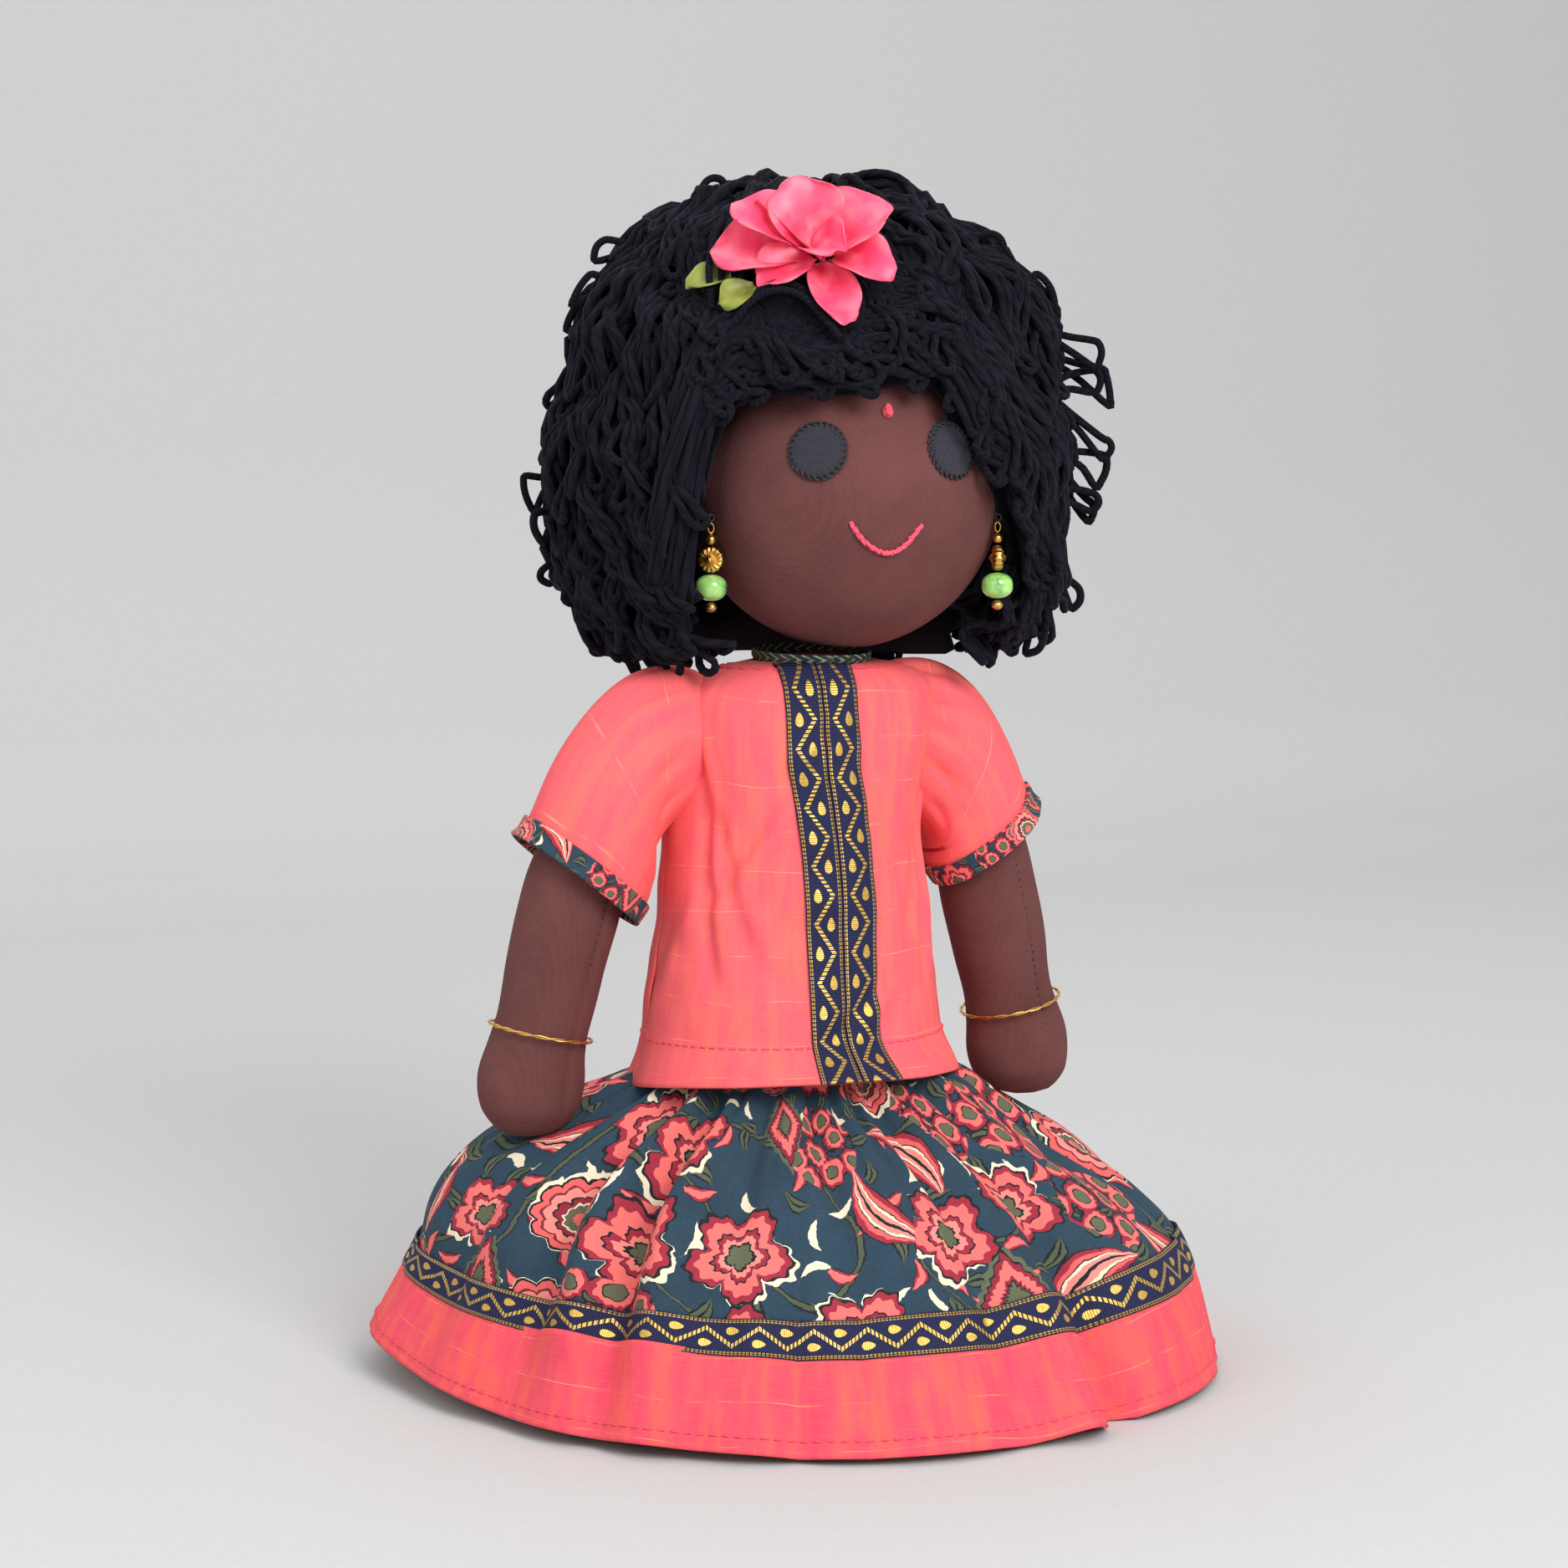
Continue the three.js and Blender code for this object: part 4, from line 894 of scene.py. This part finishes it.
def build_bangle(side):
    joint = next(j for j in frame["joints"] if j["name"] == f"bangle_{side}_turn")
    centre, axis = Vector(joint["pos_m"]), Vector(joint["axis"]).normalized()
    across = axis.orthogonal().normalized()
    beside = axis.cross(across)
    turns = []
    for strand in range(2):
        path = []
        for k in range(160):
            a = math.tau * k / 160
            twist = 9 * a + math.pi * strand
            r = (15.9 + 0.3 * math.cos(twist)) * MM
            path.append(centre + (across * math.cos(a) + beside * math.sin(a)) * r
                        + axis * 0.3 * MM * math.sin(twist))
        turns.append(path)
    ring = threads(f"bangle_wire_{side}", turns, 0.32, gilt, f"bangle_{side}", closed=True)
    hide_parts(f"bangle_{side}")


build_bangle("R")
build_bangle("L")

# ---------------------------------------------------------------------------------------------
# The earrings: a wire loop, a gilt bead, a ribbed gilt disc, a glazed green barrel bead and a
# small gilt end bead, threaded one under the other and hung from a stitch in the head.

glaze, tree, shader = new_material("green_glazed_bead", 0.12, specular=0.6)  # marbled under clear glaze
shader.inputs["Coat Weight"].default_value = 0.7
shader.inputs["Coat Roughness"].default_value = 0.06
marble = add(tree, "TexNoise", add(tree, "TexCoord", out="Object"), 160.0, 4.0, 0.6)
tone = add(tree, "Mix RGBA", add(tree, "MapRange", marble, 0.35, 0.5), "#2f8a63", "#9fd873")
tone = add(tree, "Mix RGBA", add(tree, "MapRange", marble, 0.55, 0.7), tone, "#d7f09a")
finish_surface(tree, shader, tone, marble, 0.03, 0.3)


def bead(name, node, body, material, slot, shape=None):
    """A round bead, disc or barrel that fills its own box; shape(direction) scales it."""
    low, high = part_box(node)
    middle, half = (low + high) / 2, (high - low) / 2
    bm = bmesh.new()
    bmesh.ops.create_uvsphere(bm, u_segments=40, v_segments=24, radius=1.0)
    for vertex in bm.verts:
        co = vertex.co.copy()
        grow = shape(co) if shape else 1.0
        vertex.co = middle + Vector((co.x * half.x, co.y * half.y, co.z * half.z)) * grow
    piece = made_object(name, bm, material, body)
    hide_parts(node)
    return piece


def build_earring(side, turn):
    body = f"earring_{side}"
    low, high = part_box(f"earring_{side}_wire")
    x, y, top = (low.x + high.x) / 2, (low.y + high.y) / 2, high.z
    loop = [Vector((x + 0.9 * MM * math.sin(a), y, top - 1.6 * MM + 1.5 * MM * math.cos(a)))
            for a in (math.tau * k / 18 for k in range(18))]
    wire = threads(f"ear_wire_{side}", [loop], 0.32, gilt, body, closed=True)
    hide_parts(f"earring_{side}_wire")
    bead(f"ear_bead_{side}", f"earring_{side}_bead", body, gilt, "gold")
    bead(f"ear_tip_{side}", f"earring_{side}_tip", body, gilt, "gold")
    bead(f"ear_barrel_{side}", f"earring_{side}_drum", body, glaze, "bead_glass",
         lambda d: 1.0 + 0.12 * (1 - d.z * d.z) * abs(d.z) if abs(d.z) < 0.95 else 1.0)
    low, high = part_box(f"earring_{side}_disc")
    middle, reach = (low + high) / 2, (high.z - low.z) / 2
    bm = bmesh.new()
    bmesh.ops.create_uvsphere(bm, u_segments=72, v_segments=20, radius=1.0)
    for vertex in bm.verts:                                  # sixteen ribs run out from a boss
        co = vertex.co.copy()
        a, out = math.atan2(co.y, co.x), math.hypot(co.x, co.y)
        rib = 0.5 + 0.5 * math.cos(14 * a)
        edge = 1 - 0.06 * (1 - rib) * out
        boss = 0.45 * math.exp(-((out / 0.22) ** 2))
        thick = (0.22 + 0.2 * rib * min(1.0, 4 * out * (1.02 - out) + 0.1) + boss) * reach * math.copysign(1, co.z)
        vertex.co = Vector((co.x * reach * edge, co.y * reach * edge, thick * min(1.0, abs(co.z) * 3)))
    stand = Matrix.Rotation(math.radians(turn), 4, "Z") @ Matrix.Rotation(math.pi / 2, 4, "X")
    bmesh.ops.transform(bm, matrix=Matrix.Translation(middle) @ stand, verts=bm.verts)
    disc = made_object(f"ear_disc_{side}", bm, gilt, body)
    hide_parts(f"earring_{side}_disc")
    low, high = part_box(f"ear_stitch_{side}")
    middle = (low + high) / 2
    inward = (HEAD_AT - middle).normalized()
    loop = [middle + inward * 1.1 * MM * math.sin(a) + Vector((0, 0, 1.0 * MM * math.cos(a)))
            for a in (math.tau * k / 12 for k in range(12))]
    stitch = threads(f"ear_tie_{side}", [loop], 0.35, charcoal_thread, "head", closed=True)
    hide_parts(f"ear_stitch_{side}")


build_earring("R", -30)
build_earring("L", 74)

# ---------------------------------------------------------------------------------------------
# The hair: thick black wool yarn, laid over a dark knitted cap and sewn down in rows. Every lock
# is one uncut loop, so the bob ends in closed loops all round. The fringe is swept to one side.

wool, tree, shader = new_material("black_wool_yarn", 0.95, specular=0.12, sheen=0.28, sheen_tint="#4c4b60")
place = add(tree, "TexCoord", out="UV")                     # two plies, with loose fibre over them
x, y, _ = add(tree, "SeparateXYZ", place, out=None)
ply = add(tree, "Math ADD", add(tree, "Math MULTIPLY", x, 150.0), add(tree, "Math MULTIPLY", y, 12.6))
ply = add(tree, "Math MULTIPLY_ADD", add(tree, "Math SINE", ply), 0.5, 0.5)
fibre = add(tree, "TexNoise", add(tree, "TexCoord", out="Object"), 1500.0, 4.0, 0.7)
shade = add(tree, "Math MULTIPLY", add(tree, "Math ADD", ply, fibre), 0.5)
finish_surface(tree, shader, add(tree, "Mix RGBA", shade, "#07070b", "#1b1a24"), shade, 0.5, 0.8)

HAIR_X, HAIR_Y = 13, 17
HAIR_OUTLINE = [(0, 363), (25, 360), (45, 351), (60, 335), (70, 315), (75.5, 293), (77, 270), (75, 250), (69, 235),
                (60, 223)]
HAIR_ROWS = [[i / 9, r, z] for i, (r, z) in enumerate(HAIR_OUTLINE)]
# How far down the hair comes, as a share of the outline, by degrees from the front.
HAIR_EDGE = [[-180, 1.05], [-100, 1.05], [-84, 1.0], [-66, 1.0], [-56, 0.98], [-51, 0.86], [-47.5, 0.7], [-44, 0.6], [-38, 0.54], [-25, 0.53],
             [-10, 0.53], [0, 0.515], [12, 0.52], [16, 0.55], [20, 0.625], [30, 0.665], [38, 0.73], [48, 0.84], [56, 0.97], [66, 1.0],
             [92, 1.0], [108, 1.05], [180, 1.05]]


def hair_edge(turn):
    return between(HAIR_EDGE, (turn + 180) % 360 - 180)[0]


FLOWER_OUT = Vector((-0.243, -0.7, 0.676)).normalized()
FLOWER_AT = Vector((HAIR_X, HAIR_Y, 287)) + FLOWER_OUT * 77.5
EARS = [(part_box(f"earring_{side}_wire")[0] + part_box(f"earring_{side}_wire")[1]) / 2 / MM for side in "RL"]


def on_hair(turn, share, out, free=False):
    """A point on the bob in mm: degrees from the front, share of the way from crown to ends. It
    keeps clear of the flower and the earrings unless it is free."""
    below = max(0.0, share - 1)
    r, z = between(HAIR_ROWS, share)
    r, z = r - 90 * below, z - 188 * below
    r2, z2 = between(HAIR_ROWS, min(1.0, share + 0.02))
    r1, z1 = between(HAIR_ROWS, max(0.0, share - 0.02))
    slope = Vector((z1 - z2, r2 - r1)).normalized()
    a = math.radians(turn)
    ring = Vector((math.sin(a) * 2.6, math.cos(a) * 2.6, share * 6.5))
    lump = (6.5 * noise.noise(ring) + 2.5 * noise.noise(ring * 2.3)) * min(1.0, 0.3 + 2.5 * share)
    r, z = r + slope.x * (out + lump), z + slope.y * (out + lump)
    point = Vector((HAIR_X + r * math.sin(a), HAIR_Y - r * math.cos(a), z))
    away = point - FLOWER_AT
    rise = away.dot(FLOWER_OUT)
    flat = (away - FLOWER_OUT * rise).length
    if flat < 33 and rise > -40 and not free:
        limit = 0.45 * min(0.0, out - 2) - flat * flat / 140 - 1.5
        point -= FLOWER_OUT * max(0.0, rise - limit) * min(1.0, (33 - flat) / 6)
    for ear in EARS:
        beside = Vector((point.x - ear.x, point.y - ear.y, 0))
        if beside.length < 10.5 and ear.z - 34 < z < ear.z + 3:
            point += beside.normalized() * (10.5 - beside.length)
    return point


def cap_point(u, v):
    turn = 180 + 360 * u
    return on_hair(turn, 0.002 + (1 - v) * (hair_edge(turn) - 0.02), -7.5)


cap = cloth("hair_cap", cap_point, 120, 40, (420, 190), wool, "head", closed=True, thick=1.2)

shuffle = random.Random(11)


def yarn_loop(turn, top, length, lean=0.0, deep=-8.0, proud=2.0, eye=3.0, follow=None):
    """One uncut lock, length in mm: down the bob in a loose wave, round an open eye, and back up
    beside itself. follow(t) can give its turn and share instead."""
    phase, wavelength = shuffle.uniform(0, math.tau), shuffle.uniform(17, 34)
    sway, heave = shuffle.uniform(1.4, 4.0), shuffle.uniform(0.8, 3.0)
    radius = between(HAIR_ROWS, min(top + length / 188, 1.0))[0]
    per_mm = 57.3 / max(radius, 22)
    steps = [(k / 8, -1.3 if k < 8 else -eye, 0.0) for k in range(9)]
    steps += [(1, -eye * math.cos(math.radians(b)), 1.2 * eye * math.sin(math.radians(b))) for b in (36, 72, 108, 144)]
    steps += [(k / 8, 1.3 if k < 8 else eye, 0.0) for k in range(8, -1, -1)]
    path = []
    for t, side, past in steps:
        s = length * t + past
        wave = phase + math.tau * s / wavelength
        place, share = follow(t) if follow else (turn + lean * s * per_mm, top + length * t / 188)
        out = deep + (proud - deep) * min(1.0, t * 2.2) ** 0.8 + heave * math.cos(wave) + 0.4 * side * math.cos(phase)
        path.append(on_hair(place + (side + sway * math.sin(wave)) * per_mm, share + past / 188, out) * MM)
    return smooth_route(path, 32)


def stray_loop(turn, share, reach, droop, eye=3.6):
    """A lock that has sprung out sideways, with its open eye standing away from the hair."""
    curl, squat = shuffle.uniform(-3, 3), shuffle.uniform(0.75, 1.5)
    round_eye = [(1, -eye * math.cos(math.radians(b)) * squat, eye * math.sin(math.radians(b)) / squat)
                 for b in (20, 55, 90, 125, 160)]
    steps = [(0, -2.6, 0), (0.35, -1.0, 0), (0.7, -1.9, 0)] + round_eye + [(0.7, 1.9, 0), (0.35, 1.3, 0), (0, 2.6, 0)]
    return smooth_route([on_hair(turn + 2 * curl * t, share + (side + droop * t * t + curl * math.sin(5 * t)) / 188,
                                 -5 + (reach + 3) * t + past) * MM for t, side, past in steps], 34)


LOCKS = {"hair_fringe": [], "hair_side_L": [], "hair_back_L": [], "hair_back_R": [], "hair_side_R": [], "hair_crown": []}


def lay(path):
    """Files a lock under the part of the hair where its end lies."""
    tip = path[len(path) // 2] / MM
    turn = math.degrees(math.atan2(tip.x - HAIR_X, -(tip.y - HAIR_Y))) % 360
    group = ("hair_crown" if tip.z > 332 else "hair_side_L" if 32 <= turn < 110 else
             "hair_back_L" if 110 <= turn < 180 else "hair_back_R" if 180 <= turn < 236 else
             "hair_side_R" if 236 <= turn < 306 else "hair_fringe")
    LOCKS[group].append(path)


for row in range(14):                                        # rows of locks from the crown down
    top = 0.0 if row < 2 else 0.066 * row - 0.08
    length = 28 if row == 0 else 48
    radius = between(HAIR_ROWS, min(top + length / 188, 1.0))[0]
    count = int(math.tau * radius / 6.6)
    for k in range(count):
        turn = 360 * (k + 0.5 * (row % 2) + shuffle.uniform(-0.3, 0.3)) / count - 180
        lean = shuffle.uniform(-0.55, 0.55)
        edge = min(hair_edge(turn + d) for d in (-5, 5, lean * 0.8 * length * 57.3 / max(radius, 22)))
        room = (edge - (0.045 if abs(turn + 10) < 42 else 0.015) - top) * 188
        if room < 24:
            continue
        lay(yarn_loop(turn, top, min(length * shuffle.uniform(0.85, 1.15), room), lean=lean,
                      proud=shuffle.uniform(-1.0, 4.5), eye=shuffle.uniform(2.2, 3.6)))
for deep in (-22, -15):                                      # locks between the outer hair and the head
    for turn in list(range(52, 100, 7)) + list(range(-100, -66, 7)):
        lay(yarn_loop(turn, 0.42, 72, lean=0.02, deep=deep, proud=deep + 3))
        lay(yarn_loop(turn + 3, 0.62, 66, lean=0.02, deep=deep, proud=deep + 5))
for row in range(7):                                         # the fringe, swept along the hairline
    for k in range(13):
        start = -66 + 9 * k + shuffle.uniform(-2, 2)
        reach = 24 + shuffle.uniform(-4, 8)
        above = 0.022 * row + shuffle.uniform(0.0, 0.014)

        def along_edge(t, start=start, reach=reach, above=above):
            turn = start + reach * t
            return turn, hair_edge(turn) - above - 0.09 * (1 - t) ** 1.5 - 0.014

        lay(yarn_loop(start, 0.4, 40, deep=-5, proud=0.2 + 0.6 * row, eye=2.4, follow=along_edge))
for turn, share, reach, droop in ((68, 0.44, 17, 6), (72, 0.47, 20, 10), (66, 0.5, 16, 4), (74, 0.53, 14, 12),
                                  (70, 0.6, 15, 8), (76, 0.63, 12, 10), (66, 0.66, 13, 6), (64, 0.36, 8, 4),
                                  (-112, 0.27, 10, 8), (-106, 0.33, 9, 9), (-118, 0.38, 8, 6), (-110, 0.64, 9, 6),
                                  (-104, 0.69, 8, 8), (-114, 0.77, 7, 6), (-108, 0.93, 7, 8), (74, 0.8, 9, 8),
                                  (60, 0.24, 8, 6), (80, 0.9, 8, 10), (-100, 0.12, 8, 4), (150, 0.5, 10, 8),
                                  (-160, 0.7, 9, 8), (120, 0.85, 9, 10)):
    lay(stray_loop(turn, share, reach, droop))
for turn, top, length in ((44, 0.8, 38), (50, 0.82, 34), (57, 0.8, 40), (64, 0.82, 36), (-60, 0.82, 36), (-70, 0.83, 36),
                          (-80, 0.84, 34), (-54, 0.8, 36)):
    lay(yarn_loop(turn, top, length, lean=0.1, deep=-9, proud=-3, eye=3.6))
for group, paths in LOCKS.items():
    piece = threads(f"{group}_yarn", paths, 1.3, wool, "head")
    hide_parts(group)
strays = []
for shift in (0.0, 2.6, 5.2):                                # a lock that hangs beside the left eye
    strays.append(smooth_route([on_head(24 + shift, 36, 7 * MM), on_head(30 + shift, 28, 6 * MM),
                                on_head(35 + shift, 21 - shift, 5.2 * MM), on_head(39 + shift, 17 - shift, 5 * MM),
                                on_head(43.5 + shift, 17 - shift, 5.4 * MM), on_head(44 + shift, 26, 7 * MM)], 20))
for lift, out in ((0.0, 9.5), (3.0, 11.5)):                  # two strands that lie over the flower's foot
    strays.append([on_hair(-40 + 2.2 * k, 0.41 - 0.0016 * k * (11 - k) + lift / 188,
                           out - 7 + 6 * math.sin(k * 0.26), True) * MM for k in range(13)])
    strays.append([on_hair(-48 - lift + 0.5 * k, 0.24 + 0.014 * k, out - 8 + 5 * math.sin(k * 0.28), True) * MM
                   for k in range(12)])
lock = threads("hair_lock_yarn", strays, 1.15, wool, "head")
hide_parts("hair_lock")

# ---------------------------------------------------------------------------------------------
# The flower: eight cupped petals and two leaves cut from satin ribbon with heat-curled edges,
# gathered at the foot and stitched to the hair over a folded strip of the same satin.


def satin(name, deep, body_colour, bright, roughness=0.42):
    """Satin ribbon on UV metres: fine floats along the cloth, a soft gloss, painted shade that deepens the colour
    towards the foot of each piece, where the pieces gather and fold, and painted sheen in lighter patches.
    """
    made, tree, shader = new_material(name, roughness, specular=0.45, sheen=0.35, sheen_tint=bright)
    place = add(tree, "TexCoord", out="UV")
    x, y, _ = add(tree, "SeparateXYZ", place, out=None)
    streak = add(tree, "CombineXYZ", add(tree, "Math MULTIPLY", x, 1500.0), add(tree, "Math MULTIPLY", y, 120.0))
    floats = add(tree, "TexNoise", streak, 1.0, 2.0, 0.5)
    # painted shade: the deep colour at the foot of each piece (UV v = 0), fading to the body colour over 14 mm
    foot = add(tree, "MapRange", y, 0.0, 0.014)
    # painted sheen: soft noise patches lightened towards the bright colour
    soft = add(tree, "TexNoise", place, 110.0, 2.0, 0.5)
    tone = add(tree, "Mix RGBA", foot, deep, body_colour)
    tone = add(tree, "Mix RGBA", add(tree, "MapRange", soft, 0.42, 0.72), tone, bright)
    finish_surface(tree, shader, tone, floats, 0.06, 0.5)
    return made


# Each satin's colours are: the painted shade at its foot, its body colour, and the bright colour of its painted sheen.
petal_satin = satin("pink_satin", "#d81e50", "#f6486f", "#ff7f92")
leaf_satin = satin("olive_satin", "#5f662a", "#7f8634", "#a3aa4c")
OUT, HEART = FLOWER_OUT, FLOWER_AT
RIGHT = Vector((-OUT.y, OUT.x, 0)).normalized()
UP = OUT.cross(RIGHT)


def petal(i, name, node, angle, tilt, start, length, half_width, cup, curl, material, lift=0.0):
    a, b = math.radians(angle), math.radians(tilt)
    flat = RIGHT * math.cos(a) + UP * math.sin(a)
    along = flat * math.cos(b) + OUT * math.sin(b)
    beside = OUT.cross(flat).normalized()
    face = beside.cross(along).normalized()
    if face.dot(OUT) < 0:
        face = -face

    def place(u, v):
        w = 2 * u - 1
        wide = half_width * between([[0, 0.3], [0.3, 0.78], [0.6, 1.0], [0.82, 0.96], [0.94, 0.74], [1, 0.5]], v)[0]
        end = length * (v - 0.13 * w * w * v)
        rise = cup * (w * w) * math.sin(math.pi * min(1.0, v * 0.8 + 0.1)) - curl * max(0.0, v - 0.55) ** 2 * 4
        side = w if i % 2 else -w
        rise += 1.7 * max(0.0, side) ** 1.5 * v + 0.9 * math.sin(4.5 * w + angle) * v * v
        return HEART + along * (start + end) + beside * (w * wide) + face * (rise + lift)

    piece = cloth(name, place, 18, 20, (2 * half_width, length), material, "head", thick=0.35)
    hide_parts(node)
    return piece


for i, angle, tilt, start, length, half_width, cup, curl, lift in (
        (2, 108, 44, 4, 22, 11.5, 5.0, 2.0, 0.5), (3, 158, 30, 9, 21, 9.0, 4.5, 4.5, 1.5),
        (4, 176, 8, 5, 26, 11, 5.0, 4.0, 0.5), (5, 212, 4, 1, 19, 8.5, 3.5, 3.0, 2.5),
        (6, 290, 3, 2, 26, 7.5, 3.5, 2.0, 1.0), (7, 334, 16, 7, 20, 8.5, 4.5, 4.5, 2.5),
        (8, 24, 34, 3, 25, 12, 6.0, 4.5, 1.0), (1, 318, 40, 1, 16, 8.0, 4.5, 2.5, 4.5)):
    petal(i, f"petal_satin_{i}", f"petal_{i}", angle, tilt, start, length, half_width, cup, curl, petal_satin,
          lift)
petal(1, "leaf_satin_R", "leaf_R", 186, -8, 25, 14, 5.6, 1.6, 2, leaf_satin, 1)
petal(2, "leaf_satin_L", "leaf_L", 208, -4, 20, 12, 4.8, 1.4, 2, leaf_satin, 1)


def heart_point(u, v):
    """A strip folded in two along its length, which lies across the petals towards the top left."""
    fold = abs(2 * v - 1)
    run = RIGHT * -0.78 + UP * 0.5 + OUT * 0.42
    width = 5.2 * math.sin(math.pi * (0.12 + 0.76 * u)) ** 0.7
    return HEART + run * (-3 + 25 * u) + OUT * (5.5 - 3 * fold + 2 * u) + (UP - RIGHT * 0.4) * (width * (fold - 0.6))


heart = cloth("flower_heart_fold", heart_point, 24, 12, (26, 18), petal_satin, "head", thick=0.4)
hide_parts("flower_heart")

# ---------------------------------------------------------------------------------------------
# The table, the light and the view: a plain pale sweep, one broad soft light from the front and
# above, a weaker one from the side, and even light from all round.

bm = bmesh.new()
bmesh.ops.create_grid(bm, x_segments=1, y_segments=24, size=1.0)
for vertex in bm.verts:
    y = vertex.co.y * 3
    back = max(0.0, y - 1.2)
    vertex.co = Vector((vertex.co.x * 4, 1.2 + back * 0.35 if back else y, -0.0005 + back ** 2 * 0.9))
paper, tree, shader = new_material("pale_paper", 0.95, specular=0.1)         # matt, faintly mottled
grain = add(tree, "TexNoise", add(tree, "TexCoord", out="Object"), 300.0, 2.0)
finish_surface(tree, shader, add(tree, "Mix RGBA", grain, "#c2c2c2", "#c8c8c8"), grain, 0.02, 0.2)
floor = made_object("floor_sweep", bm, paper, None, outward=False)

world = bpy.data.worlds.new("studio")
bpy.context.scene.world = world
world.use_nodes = True
world.node_tree.nodes["Background"].inputs["Color"].default_value = linear("#ffffff")
world.node_tree.nodes["Background"].inputs["Strength"].default_value = 0.72


def softbox(name, place, power, size):
    light = bpy.data.lights.new(name, "AREA")
    light.energy, light.size = power, size
    lamp = bpy.data.objects.new(name, light)
    bpy.context.scene.collection.objects.link(lamp)
    lamp.location = place
    lamp.rotation_euler = (Vector((0, 0, 0.17)) - Vector(place)).to_track_quat("-Z", "Y").to_euler()


softbox("key_light", (0.2, -1.4, 1.0), 21, 0.8)
softbox("side_light", (-1.2, -0.5, 0.9), 4, 0.9)
softbox("back_light", (0.0, 1.0, 1.6), 14, 2.0)

camera_data = bpy.data.cameras.new("view")
camera = bpy.data.objects.new("view", camera_data)
bpy.context.scene.collection.objects.link(camera)
bpy.context.scene.camera = camera
camera_data.lens, camera_data.sensor_width = 85, 36
azimuth, elevation, distance = math.radians(-20), math.radians(6), 1.150
back = Vector((math.sin(azimuth) * math.cos(elevation), -math.cos(azimuth) * math.cos(elevation), math.sin(elevation)))
camera.location = Vector((-0.0019, 0, 0.180)) + back * distance
camera.rotation_mode = "QUATERNION"
camera.rotation_quaternion = (-back).to_track_quat("-Z", "Y")
bpy.context.scene.view_settings.view_transform = "Standard"
